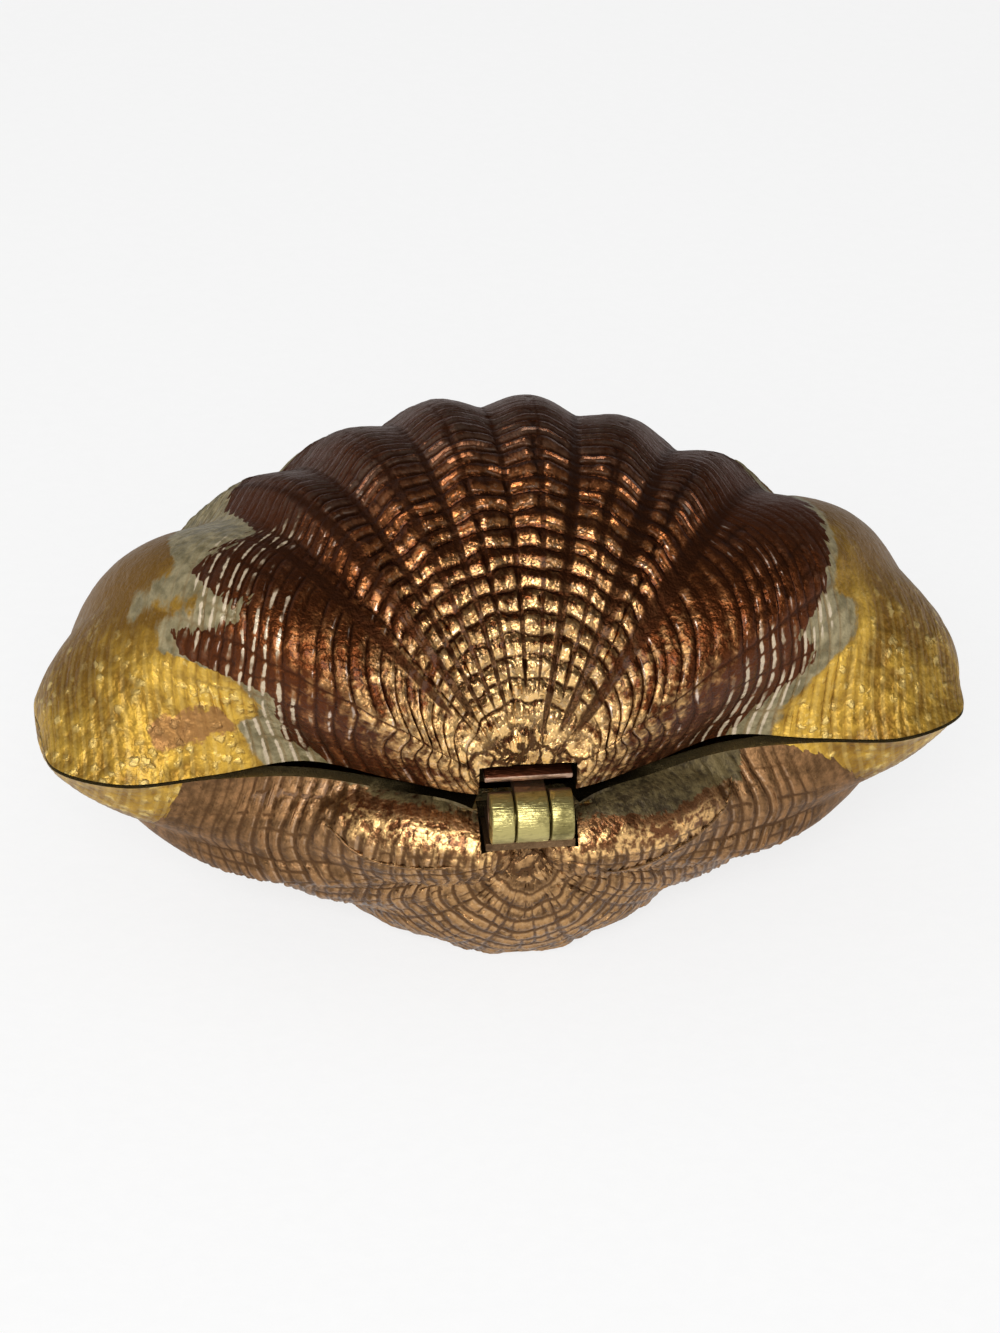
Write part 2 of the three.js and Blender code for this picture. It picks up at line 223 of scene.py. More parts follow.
# The two valves, over rib coordinates and shares of the way from the hinge to the edge. A valley has
# two Bezier handles, as shares of the half width, reach and height, and the back edge has points as
# shares of the half width and the tip's setback, with a height. Spacing is that of the growth lines near
# the hinge, in the middle and near the edge. Wobble, opening and half widths are those of the radial
# lines and the growth lines. A pool has a rib coordinate, a half width in millimetres and a start, an
# arch a height, a middle and a width, and a stroke two ends and a width in millimetres.
LID = SimpleNamespace(
    side=1,
    height=LID_HEIGHT,
    umbo=LID_UMBO_LIFT,
    leaf=LID_LEAF_THICKNESS,
    valleys=[
        ((0, 0.03, 1.36), (0, 0.83, 1.19)),
        ((0.16, 0.03, 1.31), (0.18, 0.78, 1.17)),
        ((0.3, 0.02, 1.17), (0.36, 0.69, 1.06)),
        ((0.39, 0.01, 1.01), (0.53, 0.57, 0.98)),
        ((0.61, -0.01, 0.74), (0.86, 0.4, 0.75)),
    ],
    back=[
        (0.13, 0.15, 0.65), (0.27, 0.32, 0.6), (0.45, 0.55, 0.45),
        (0.64, 0.52, 0), (0.83, 0.48, 0), (0.97, 0.67, 0),
    ],
    first_line=0.05,
    spacing=(0.025, 0.028, 0.019),
    wobble=(0.2, 0.22),
    opening=((0.06, 0.13), (0.05, 0.12)),
    broken=0.3,
    depth=1,
    pools=[
        (-3, 0.85, 0.06), (-2.02, 0.75, 0.05), (-0.97, 0.55, 0.04), (2.6, 0.6, 0.08), (3.15, 0.5, 0.1),
        (1.47, 0.3, 0.07), (1, 0.32, 0.06), (0.6, 0.25, 0.08), (0.02, 0.28, 0.08), (-0.5, 0.22, 0.08),
        (-1.5, 0.25, 0.08), (2, 0.35, 0.08),
    ],
    arch=(0.13, 4.0, 0.7),
    seed=11,
    radials=[
        (-2.75, 0.3), (-2.45, 0.95), (-2, 1), (-1.75, 0.3), (-1.47, 0.98), (-1.2, 0.3), (-1, 1),
        (-0.72, 0.3), (-0.45, 0.98), (-0.2, 0.2), (0.02, 0.98), (0.3, 0.4), (0.6, 0.98), (0.8, 0.2),
        (1, 1), (1.25, 0.3), (1.5, 0.98), (1.8, 0.7), (2, 1), (2.3, 0.3), (2.55, 0.95), (2.8, 0.3),
    ],
    flank_lines=(0.5, 0.95, 0.4),
    flank_calm=0.35,
    flank_pillow=0.35,
    facets=[(-4.75, 0.5, 0.45, 0.12), (4.42, 0.5, 0.2, 0.09)],
    half_widths=(0.4, 0.27),
    pillow=0.2,
    brown_border=[
        (-5, 0.42), (-4.75, 0.44), (-4.5, 0.48), (-4.36, 0.46), (-4.22, 0.4), (-4.1, 0.44), (-3.85, 0.49),
        (-3.5, 0.6), (-3, 0.72), (0, 0.8), (2, 0.78), (2.9, 0.7), (3.02, 0.62), (3.1, 0.56), (3.4, 0.54),
        (3.66, 0.54), (3.76, 0.4), (4, 0.46), (4.1, 0.53), (4.25, 0.5), (4.35, 0.36), (4.8, 0.42), (5, 0.38),
    ],
    gold_border=[
        (-5, 0.5), (-4.8, 0.49), (-4.6, 0.51), (-4.4, 0.55), (-4.2, 0.55), (-4.08, 0.5), (-3.9, 0.51),
        (-3.5, 0.62), (-3, 0.76), (0, 0.86), (2.9, 0.86), (3.1, 0.78), (3.5, 0.66), (3.65, 0.58), (3.8, 0.57),
        (4.25, 0.56), (4.3, 0.42), (4.48, 0.4), (4.6, 0.43), (4.68, 0.49), (4.9, 0.5), (5, 0.49),
    ],
    cream_strokes=[((3.74, 0.42), (4.08, 0.54), 1.2), ((3.8, 0.56), (4.02, 0.63), 1.3)],
    gold_strokes=[((3.84, 0.5), (4.06, 0.57), 0.9)],
    pink_strokes=[((4.64, 0.5), (4.76, 0.64), 1.3)],
    streaked=[
        ((3.2, 0.53), (3.75, 0.47), 4.5), ((3.66, 0.38), (4.4, 0.35), 3), ((4.3, 0.37), (4.65, 0.42), 5),
        ((4.6, 0.43), (5, 0.45), 6), ((-4.3, 0.34), (-4.95, 0.4), 5), ((-4.35, 0.45), (-4.8, 0.47), 3.5),
    ],
)
BASE = SimpleNamespace(
    side=-1,
    height=BASE_DEPTH,
    umbo=BASE_UMBO_DROP,
    leaf=BASE_LEAF_THICKNESS,
    valleys=[
        ((0, -0.03, 1.65), (0, 0.81, 1.4)),
        ((0.21, -0.05, 1.38), (0.32, 0.71, 1.28)),
        ((0.34, -0.01, 1.02), (0.61, 0.6, 1.07)),
        ((0.38, 0.04, 0.71), (0.84, 0.41, 0.93)),
        ((0.34, 0.06, 0.42), (0.96, 0.24, 0.61)),
    ],
    back=[
        (0.13, 0.2, 0.5), (0.27, 0.34, 0.25), (0.45, 0.5, 0.15),
        (0.64, 0.51, 0), (0.83, 0.48, 0), (0.97, 0.67, 0),
    ],
    first_line=0.036,
    spacing=(0.027, 0.024, 0.021),
    wobble=(0.3, 0.28),
    opening=((0.045, 0.09), (0.03, 0.07)),
    broken=0.4,
    depth=0.5,
    pools=[(-0.75, 0.3, 0.06), (0.62, 0.3, 0.06)],
    arch=(0.05, 3.4, 0.8),
    seed=23,
    radials=[
        (-2.72, 0.8), (-2.5, 0.9), (-2.26, 0.8), (-2.02, 0.9), (-1.78, 1), (-1.54, 0.8), (-1.3, 0.8),
        (-1.02, 0.9), (-0.75, 1), (-0.48, 0.8), (-0.2, 0.8), (0.06, 0.8), (0.33, 0.9), (0.62, 1), (0.88, 0.8),
        (1.14, 0.8), (1.36, 0.8), (1.58, 0.8), (1.82, 1), (2.08, 0.8), (2.32, 0.8), (2.56, 0.9), (2.78, 0.8),
    ],
    flank_lines=(0.5, 0.95, 0.12),
    flank_calm=0,
    flank_pillow=1,
    facets=[],
    half_widths=(0.24, 0.25),
    pillow=0.1,
    brown_border=[
        (-5, 0.52), (-4.75, 0.6), (-4, 0.66), (-3, 0.7), (0, 0.74), (3, 0.7), (4, 0.64), (5, 0.62),
    ],
    gold_border=[(-5, 0.5), (0, 0.7), (5, 0.55)],
    cream_strokes=[],
    gold_strokes=[],
    pink_strokes=[],
    streaked=[],
)


def smoothstep(value, start, end):
    share = np.clip((value - start) / (end - start), 0, 1)
    return share * share * (3 - 2 * share)


# Smooth shell surface over the rib coordinate w (-5 to 5) and the share t of the way to the edge
def front_edge(w):
    angle = (math.pi / 2) * (w / FOLDS_PER_SIDE)
    reach = TIP_SETBACK + (MARGIN_REACH - TIP_SETBACK) * math.cos(angle)
    return np.array([MARGIN_HALF_WIDTH * math.sin(angle), -reach, 0])


def hermite(p1, p2, m1, m2, s):
    s2 = s * s
    s3 = s2 * s
    return (2 * s3 - 3 * s2 + 1) * p1 + (s3 - 2 * s2 + s) * m1 + (3 * s2 - 2 * s3) * p2 + (s3 - s2) * m2


def umbo_point(valve):
    return np.array([0, -UMBO_SETBACK, valve.side * valve.umbo])


def back_curve(valve):
    points = [umbo_point(valve)]
    for x, setback, lift in valve.back:
        points.append(np.array([x * MARGIN_HALF_WIDTH, -setback * TIP_SETBACK, valve.side * lift]))
    points.append(front_edge(FOLDS_PER_SIDE))
    points = [2 * points[0] - points[1]] + points + [2 * points[-1] - points[-2]]
    curve = []
    steps = np.linspace(0, 1, BACK_STEPS, endpoint=False)
    for p0, p1, p2, p3 in zip(points, points[1:], points[2:], points[3:]):
        d0, d1, d2 = [np.linalg.norm(step) ** 0.5 for step in (p1 - p0, p2 - p1, p3 - p2)]
        m1 = ((p1 - p0) / d0 - (p2 - p0) / (d0 + d1) + (p2 - p1) / d1) * d1
        m2 = ((p2 - p1) / d1 - (p3 - p1) / (d1 + d2) + (p3 - p2) / d2) * d1
        curve.extend(hermite(p1, p2, m1, m2, s) for s in steps)
    curve.append(points[-2])
    return np.array(curve)


def guide_points(valve, t):
    start = umbo_point(valve)
    scale = np.array([HALF_WIDTH, -FRONT_REACH, valve.side * valve.height])
    s = t[:, None]
    r = 1 - s
    half = []
    for w, (leave, arrive) in enumerate(valve.valleys):
        first = np.array(leave) * scale
        second = np.array(arrive) * scale
        half.append(r**3 * start + 3 * r * r * s * first + 3 * r * s * s * second + s**3 * front_edge(w))
    curve = back_curve(valve)
    places = np.linspace(0, 1, len(curve))
    half.append(np.stack([np.interp(t, places, curve[:, axis]) for axis in range(3)], 1))
    mirrored = [points * np.array([-1, 1, 1]) for points in half[:0:-1]]
    guides = mirrored + half
    ends = [2 * guides[0] - guides[1]], [2 * guides[-1] - guides[-2]]
    return np.array(ends[0] + guides + ends[1])


def smooth_points(valve, w, t):
    shape = w.shape
    w = w.ravel()
    t = t.ravel()
    guides = guide_points(valve, np.clip(t, 0, 1))
    at = np.clip(w + FOLDS_PER_SIDE, 0, 2 * FOLDS_PER_SIDE - 1e-9)
    span = at.astype(int)
    rows = np.arange(len(w))
    p0, p1, p2, p3 = [guides[span + k, rows] for k in range(4)]
    points = hermite(p1, p2, (p2 - p0) / 2, (p3 - p1) / 2, (at - span)[:, None])
    return points.reshape(*shape, 3)


def slopes(valve, w, t):
    """Change of place for each unit of the two coordinates, measured over a small step"""
    step = 1e-4
    w = np.clip(w, step - FOLDS_PER_SIDE, FOLDS_PER_SIDE - step)
    t = np.clip(t, FIRST_SLOPE, 1 - step)
    along_w = (smooth_points(valve, w + step, t) - smooth_points(valve, w - step, t)) / (2 * step)
    along_t = (smooth_points(valve, w, t + step) - smooth_points(valve, w, t - step)) / (2 * step)
    return along_w, along_t


def metrics(valve, w, t):
    """Millimetres for each unit of the two coordinates"""
    return [np.linalg.norm(slope, axis=-1) for slope in slopes(valve, w, t)]


def unit(vectors):
    return vectors / np.maximum(np.linalg.norm(vectors, axis=-1, keepdims=True), 1e-12)


def folded_points(valve, w, t):
    along_w, along_t = slopes(valve, w, t)
    normal = unit(-np.cross(along_w, along_t) * valve.side)
    level = 1 - smoothstep(t, FOLD_LEVEL, 1)
    outward = normal.copy()
    outward[..., 2] *= level
    outward = unit(outward)
    growth = smoothstep(t, FOLD_START, FOLD_FULL)
    crest = math.hypot(1, FOLD_SOFTNESS) - FOLD_SOFTNESS
    wave = (np.sqrt(np.sin(np.pi * w) ** 2 + FOLD_SOFTNESS**2) - FOLD_SOFTNESS) / crest
    height = FOLD_HEIGHT * growth * wave
    return smooth_points(valve, w, t) + outward * height[..., None]


def grid_normals(points, side):
    along_w = np.gradient(points, axis=0)
    along_t = np.gradient(points, axis=1)
    return unit(-np.cross(along_w, along_t) * side)


# Engraving and enamel
class Lines:
    """Engraved lines across or along the valve, with stations on them and in the cells between"""

    def __init__(self, lines, half_width, right_edge, seed, wobble, opening):
        self.opening = opening
        self.centres, self.strengths, self.starts = np.array(lines).T
        self.wobble = wobble
        self.half_width = half_width
        self.right_edge = right_edge
        count = len(self.centres)
        self.random = np.random.default_rng(seed)
        self.waves = self.random.uniform(*WAVES_ALONG, (count, 5))
        self.phases = self.random.uniform(0, 2 * math.pi, (count, 5))
        self.fades = self.random.uniform(0, 2 * math.pi, (count, 3))
        stations = []
        for line in range(count):
            inner = 0 < line < count - 1
            stations.extend((line, side, 0) for side in (range(-1, right_edge + 1) if inner else [0]))
            if line < count - 1:
                steps = range(1, CELL_STATIONS + 1)
                stations.extend((line, 0, step / (CELL_STATIONS + 1)) for step in steps)
        stations = np.array(stations)
        self.line = stations[:, 0].astype(int)
        self.offset = stations[:, 1]
        self.share = stations[:, 2]
        self.following = np.minimum(self.line + 1, count - 1)
        on_line = self.share == 0
        self.nominal = np.interp(
            np.arange(len(self.line)), np.flatnonzero(on_line), self.centres[self.line[on_line]]
        )

    def places(self, along, metric):
        """Coordinate of each station at the places along the lines; metric is millimetres per unit"""
        turns = self.waves[:, :, None] * along * 2 * math.pi + self.phases[:, :, None]
        gaps = np.diff(self.centres)
        room = np.minimum(np.append(gaps, gaps[-1]), np.insert(gaps, 0, gaps[0]))
        settled = np.clip(np.abs(self.centres) / SETTLED, LEAST_WOBBLE, 1)
        shift = np.sin(turns).mean(1) * self.wobble * (room * settled)[:, None]
        shift[[0, -1]] = 0
        middle = self.centres[:, None] + shift
        gaps = np.diff(middle, axis=0)
        before = np.concatenate([gaps[:1], gaps])
        after = np.concatenate([gaps, gaps[-1:]])
        room = HALF_LINE_LIMIT * np.minimum(before, after)
        half = np.minimum(self.half_width / np.maximum(metric, 1e-6), room)
        half[[0, -1]] = 0
        groove = middle[self.line] + self.offset[:, None] * half[self.line]
        share = self.share[:, None]
        left = (middle - half)[self.following]
        right = (middle + self.right_edge * half)[self.line]
        return np.where(share > 0, right * (1 - share) + left * share, groove)

    def strength(self, along, place):
        """Strength of the line at each station, from none to one, at the places along the lines"""
        turns = along * np.array(FADE_WAVES)[None, :, None] + self.fades[:, :, None]
        fade = np.clip(FADE_LEVEL + FADE_SWING * np.sin(turns).mean(1), 0, 1)
        opening = smoothstep(place, *self.opening)
        begin = smoothstep(place - self.starts[:, None], -LINE_FADE, LINE_FADE)
        strength = self.strengths[:, None] * fade * opening * begin
        share = self.share[:, None]
        return strength[self.line] * (1 - share) + strength[self.following] * share

    def bottom(self):
        return ((self.offset == 0) & (self.share == 0)).astype(float)

    def bulge(self):
        return np.sqrt(4 * self.share * (1 - self.share))


def growth_lines(valve):
    first, wide, narrow = valve.spacing
    lines = [(0, 0, -1)]
    place = valve.first_line
    while place < LAST_GROWTH_LINE:
        lines.append((place, 1, -1))
        grown = smoothstep(place, 0.1, 0.24)
        late = smoothstep(place, 0.36, 0.55)
        place += float(first + (wide - first) * grown + (narrow - wide) * late)
    return lines + [(1, 0, -1)]


def radial_lines(valve):
    rng = np.random.default_rng(valve.seed)
    low, high, start = valve.flank_lines
    lines = [(w, strength, -1) for w, strength in valve.radials]
    lines += [(w, 1, -1) for w in (-4, -3, 3, 4)]
    for fold in (-5, -4, 3, 4):
        for share in np.arange(1, FLANK_CELLS) / FLANK_CELLS:
            lines.append((fold + share + rng.uniform(-0.02, 0.02), rng.uniform(low, high), start))
    lines += [(side * FOLDS_PER_SIDE, 0, -1) for side in (-1, 1)]
    return sorted(lines)


def arched(valve, growth, w):
    """Share of the way to the edge for a growth coordinate: the lines rise to the hinge on the flanks"""
    height, middle, width = valve.arch
    rise = height * np.exp(-(((np.abs(w) - middle) / width) ** 2))
    return growth - rise * smoothstep(growth, 0, 0.32) * (1 - smoothstep(growth, 0.55, 0.95))


def ear_surface(x, z):
    """Y of the ear lobes' back face over x and z, or far forward where there is none"""
    side = np.sign(x)
    turn = -side * EAR_SLANT
    dx = x - side * EAR_OFFSET
    sine = np.sin(turn)
    cosine = np.cos(turn)
    long2 = EAR_HALF_LENGTH**2
    thick2 = EAR_HALF_THICKNESS**2
    level = 1 - ((z + EAR_DROP) / EAR_HALF_HEIGHT) ** 2
    a = sine**2 / long2 + cosine**2 / thick2
    b = 2 * dx * sine * cosine * (1 / long2 - 1 / thick2)
    c = dx**2 * (cosine**2 / long2 + sine**2 / thick2) - level
    inside = b * b - 4 * a * c
    reach = (-b + np.sqrt(np.maximum(inside, 0))) / (2 * a)
    return np.where(inside > 0, reach - EAR_SETBACK, -FRONT_REACH)


def with_ears(points):
    ear = ear_surface(points[..., 0], points[..., 2])
    excess = (ear - points[..., 1]) / EAR_BLEND
    raised = points[..., 1] + EAR_BLEND * np.log1p(np.exp(np.clip(excess, -BLEND_LIMIT, BLEND_LIMIT)))
    lifted = points.copy()
    near = points[..., 1] > -POCKET_REACH * 3
    lifted[..., 1] = np.where(near, np.where(excess > BLEND_LIMIT, ear, raised), points[..., 1])
    return lifted


def stroke(w, t, start, end, width):
    """Depth in millimetres inside a brush stroke between two points, less than none outside it"""
    scale = np.array([RIB_SPAN, VALVE_SPAN])
    start = np.array(start) * scale
    along = np.array(end) * scale - start
    points = np.stack([w, t], -1) * scale - start
    share = np.clip(points @ along / (along @ along), 0, 1)
    return width / 2 - np.linalg.norm(points - share[..., None] * along, axis=-1)


def beyond(w, t, border):
    """Millimetres past a border that gives a share of the way to the edge for each rib coordinate"""
    return (t - np.interp(w, *np.array(border).T)) * VALVE_SPAN


def strokes(w, t, rows):
    """Depth in millimetres inside some brush strokes, or less than none outside them all"""
    depth = np.full(w.shape, -float(VALVE_SPAN))
    for row in rows:
        depth = np.maximum(depth, stroke(w, t, *row))
    return depth


def paint_fields(valve, w, t):
    """Where each enamel lies: positive inside it, in millimetres from its border"""
    cream = strokes(w, t, valve.cream_strokes)
    gilt = strokes(w, t, valve.gold_strokes)
    brown = np.minimum(-beyond(w, t, valve.brown_border), -np.maximum(cream, gilt))
    gold = np.maximum(np.minimum(beyond(w, t, valve.gold_border), -cream), gilt)
    pink = strokes(w, t, valve.pink_strokes)
    return {"brown": brown, "gold": gold, "pink": pink, "streak": strokes(w, t, valve.streaked)}


def pooled(valve, w, t, metric):
    """Enamel gathered along some ribs: each pool has a rib coordinate, a half width and a start"""
    pool = np.zeros(w.shape)
    spread = 0.45 + 0.55 * smoothstep(t, 0.05, 0.35)
    for centre, half_width, start in valve.pools:
        inside = np.exp(-(((w - centre) * metric / (half_width * spread)) ** 2))
        pool = np.maximum(pool, inside * smoothstep(t, start, start + POOL_RISE))
    return pool * (1 - 0.5 * smoothstep(t, 0.35, 0.6))


def patch(w, t, centre_w, centre_t, half_w, half_t):
    """One in the middle of a patch of the surface and nothing away from it"""
    return np.exp(-(((w - centre_w) / half_w) ** 4) - ((t - centre_t) / half_t) ** 4)


def ear_fields(valve, w, points):
    """Where the ears lie, from none to one, and the height above the upper border of their enamel"""
    ear = np.zeros(w.shape)
    top = np.full(w.shape, float(OUTSIDE))
    if valve is BASE:
        x, y, z = np.moveaxis(points, -1, 0)
        ear = smoothstep(ear_surface(x, z) - y, -0.5, 0) * (np.abs(w) > 3)
        over_ear = (np.abs(w) > 4) & (x > EAR_TOP[0][0])
        top = np.where(over_ear, z - np.interp(x, *np.array(EAR_TOP).T), top)
    return ear, top


def finish_shares(valve, w, t, gilt, pool, ear, top):
    """Share of the engraving that is kept, which the smooth enamels lack, and roughness of the casting"""
    flank = smoothstep(np.abs(w), *FLANK)
    low = smoothstep(np.abs(w), *LOW_FLANK)
    faceted = sum(patch(w, t, *place) for place in valve.facets)
    kept = 1 - flank * (gilt * (0.85 - 0.1 * low - 0.35 * faceted) + (1 - gilt) * valve.flank_calm)
    far_side = smoothstep(t, *FAR_SIDE) * (1 - 0.7 * smoothstep(t, *FRONT_SIDE))
    kept *= 1 - 0.7 * far_side * (1 - low * gilt)
    kept *= 1 - 0.85 * ear * smoothstep(top, -2.6, -1.6)
    kept *= 1 - 0.6 * smoothstep(pool, 0.3, 0.8) * (np.abs(w) > 0.8)
    rough = 1 + 1.2 * (1 - smoothstep(t, *HINGE_SIDE)) - 0.7 * smoothstep(t, 0.38, 0.55)
    rough += ear * smoothstep(top, -3, -1.5)
    return kept, rough


def line_grid(valve):
    """Both sets of lines, the places along the growth lines, and the grid's rib coordinates and shares"""
    wobble_r, wobble_g = valve.wobble
    opening_r, opening_g = valve.opening
    width_r, width_g = valve.half_widths
    radial = Lines(radial_lines(valve), width_r, 1, valve.seed + 1, wobble_r, opening_r)
    growth = Lines(growth_lines(valve), width_g, 2, valve.seed + 2, wobble_g, opening_g)

    def metrics_at(columns, rows):
        w, g = np.meshgrid(columns, rows, indexing="ij")
        return metrics(valve, w, arched(valve, g, w))

    across = (radial.nominal + FOLDS_PER_SIDE) / (2 * FOLDS_PER_SIDE)
    w = radial.places(growth.nominal, metrics_at(radial.centres, growth.nominal)[0])
    g = growth.places(across, metrics_at(radial.nominal, growth.centres)[1].T).T
    return radial, growth, across, w, arched(valve, g, w)


def engraved_shell(valve):
    """Points of the engraved outer face as columns of rows, with what the enamel reads from them"""
    radial, growth, across, w, t = line_grid(valve)
    points = folded_points(valve, w, t)
    if valve is BASE:
        points = with_ears(points)
    normal = grid_normals(points, valve.side)
    metric = metrics(valve, w, t)[0]
    paint = paint_fields(valve, w, t)
    gilt = smoothstep(paint["gold"], -1, 2)
    pool = pooled(valve, w, t, metric)
    ear, top = ear_fields(valve, w, points)
    kept, rough = finish_shares(valve, w, t, gilt, pool, ear, top)
    strength_r = radial.strength(growth.nominal, growth.nominal) * kept
    breaks = growth.random.uniform(0, 1, (len(radial.centres), len(growth.centres))) < valve.broken
    breaks &= radial.strengths[:, None] < 1
    strength_r = strength_r * np.where(breaks[radial.line][:, growth.line], BROKEN_STRENGTH, 1)
    strength_g = growth.strength(across, np.tile(growth.centres[:, None], len(across))).T * kept
    groove_r = strength_r * radial.bottom()[:, None]
    groove_g = strength_g * growth.bottom()
    on_ridge = (growth.offset == 1) & (growth.share == 0)
    ridge = strength_g * on_ridge * np.where(groove_r > 0, 0, 1)
    cells = growth.random.uniform(-1, 1, (len(radial.centres), len(growth.centres)))
    tone = cells[radial.line][:, growth.line]
    bulge_r = 1 - strength_r * (1 - radial.bulge()[:, None])
    bulge_g = 1 - strength_g * (1 - np.interp(growth.share, *TERRACE))
    # Band: one over the hinge side of each cell, fading across it; the enamel lightens it as a painted
    # highlight
    band = np.where(growth.share > 0, np.clip(1 - BAND_SLOPE * growth.share, 0, 1), growth.offset >= 1)
    in_cell = (radial.share > 0)[:, None] & (growth.share > 0)
    height = valve.pillow * kept * bulge_r * bulge_g * (1 + 0.4 * tone)
    height *= 1 - (1 - valve.flank_pillow) * smoothstep(np.abs(w), *FLANK) * (1 - gilt)
    height += RIDGE_HEIGHT * ridge
    height -= np.maximum(groove_r * RADIAL_DEPTH, groove_g * GROWTH_DEPTH) * valve.depth
    height += HAMMER_HEIGHT * rough * growth.random.uniform(-1, 1, w.shape) * in_cell
    swell = [noise.noise(Vector(point) / SWELL_SPAN) for point in points.reshape(-1, 3)]
    height += SWELL_HEIGHT * rough * np.array(swell).reshape(w.shape)
    to_side = (FOLDS_PER_SIDE - np.abs(w)) * metric
    to_front = (1 - t) * MARGIN_REACH
    height *= smoothstep(np.minimum(to_side, to_front), 0, EDGE_MARGIN) * smoothstep(t, 0.01, 0.06)
    points = points + normal * height[..., None]
    points[..., 2] += valve.side * SEAM_GAP / 2
    points[..., 2] = np.maximum(points[..., 2], -BASE_DEPTH)
    groove = np.maximum(groove_r, groove_g)
    facts = {"groove": groove, "ridge": ridge, "tone": tone, "w": w, "t": t, "pool": pool}
    facts |= {"band": np.broadcast_to(band, w.shape), "ear": ear, "top": top}
    facts["facet"] = smoothstep(np.abs(w), *LOW_FLANK) * gilt
    return points, facts | paint


def ear_bead(nodes):
    """Points along the raised line round the lower side of an ear"""
    steps = np.linspace(0, len(nodes) - 1, BEAD_STEPS)
    places = np.array([np.interp(steps, range(len(nodes)), column) for column in zip(*nodes)])
    for _ in range(BEAD_SMOOTHING):
        places[:, 1:-1] = (places[:, :-2] + places[:, 1:-1] + places[:, 2:]) / 3
    points = with_ears(folded_points(BASE, *places[:, :, None]))[:, 0]
    points[:, 2] -= SEAM_GAP / 2
    return points


# Meshes
def in_frame(points):
    return points * MM + np.array(HINGE)


def set_fact(mesh, key, values):
    mesh.attributes.new(key, "FLOAT", "POINT").data.foreach_set("value", values)


def linked(name, mesh, materials):
    for material in materials:
        mesh.materials.append(material)
    piece = bpy.data.objects.new(name, mesh)
    bpy.context.scene.collection.objects.link(piece)
    return piece


def from_bmesh(name, bm, materials):
    mesh = bpy.data.meshes.new(name)
    bmesh.ops.recalc_face_normals(bm, faces=bm.faces)
    bm.to_mesh(mesh)
    bm.free()
    return linked(name, mesh, materials)


def closed_mesh(name, points, facts, materials, region):
    """Closed body between a grid of points, from the hinge to the edge, and a fan across the edge"""
    columns, rows = points.shape[:2]
    vertices = np.concatenate([[points[0, 0], MIDDLE], points[:, 1:].reshape(-1, 3)])
    index = np.arange(columns * (rows - 1)).reshape(columns, rows - 1) + 2
    faces = [(0, int(here), int(there)) for here, there in zip(index[:-1, 0], index[1:, 0])]
    quads = index[:-1, :-1], index[:-1, 1:], index[1:, 1:], index[1:, :-1]
    faces.extend(np.stack([corner.ravel() for corner in quads], 1).tolist())
    skin = len(faces)
    border = [0] + index[-1, :].tolist() + index[:-1, -1][::-1].tolist() + index[0, :-1][::-1].tolist()
    faces.extend((here, there, 1) for here, there in zip(border, border[1:] + border[:1]))
    mesh = bpy.data.meshes.new(name)
    mesh.from_pydata(in_frame(vertices).tolist(), [], faces)
    for key, fact in facts.items():
        set_fact(mesh, key, np.concatenate([[fact[0, 0], 0], fact[:, 1:].ravel()]).astype(np.float32))
    slots = np.zeros(len(faces), np.int32)
    slots[skin:] = 1
    mesh.polygons.foreach_set("material_index", slots)
    add_map(mesh, columns, rows, region)
    bm = bmesh.new()
    bm.from_mesh(mesh)
    if bm.calc_volume(signed=True) < 0:
        bmesh.ops.reverse_faces(bm, faces=bm.faces)
    bm.to_mesh(mesh)
    bm.free()
    return linked(name, mesh, materials)


def add_map(mesh, columns, rows, region):
    """Flat map of the grid for baking, inside the region given as left, low, width and height"""
    left, low, width, height = region
    u, v = np.meshgrid(np.linspace(0, 1, columns), np.linspace(0, 1, rows), indexing="ij")
    u = np.concatenate([[0.5, 0.5], u[:, 1:].ravel()])
    v = np.concatenate([[0, 0], v[:, 1:].ravel()])
    corner = np.zeros(len(mesh.loops), np.int32)
    mesh.loops.foreach_get("vertex_index", corner)
    places = np.stack([left + width * u[corner], low + height * v[corner]], 1).astype(np.float32)
    mesh.uv_layers.new(name="OFBake").data.foreach_set("uv", places.ravel())


def block(low, high, slot=1):
    """Closed box between two corners in millimetres"""
    bm = bmesh.new()
    low = Vector(in_frame(np.array(low, float)))
    high = Vector(in_frame(np.array(high, float)))
    made = bmesh.ops.create_cube(bm, size=1)
    for vertex in made["verts"]:
        vertex.co = Vector((vertex.co[k] + 0.5) * (high[k] - low[k]) + low[k] for k in range(3))
    for face in bm.faces:
        face.material_index = slot
    return bm


def circle(radius, sides=CIRCLE_SIDES, centre=(0, 0)):
    turns = np.arange(sides) * 2 * math.pi / sides
    return [(centre[0] + radius * math.cos(turn), centre[1] + radius * math.sin(turn)) for turn in turns]


def bridged(rings, slot):
    """Closed smooth body over a row of rings of points, with a cap at each end"""
    bm = bmesh.new()
    loops = [[bm.verts.new(point) for point in in_frame(np.array(ring))] for ring in rings]
    faces = []
    for below, above in zip(loops, loops[1:]):
        faces.extend(zip(below, below[1:] + below[:1], above[1:] + above[:1], above))
    for corners in faces + [loops[0][::-1], loops[-1]]:
        bm.faces.new(corners)
    for face in bm.faces:
        face.material_index = slot
        face.smooth = True
    return bm


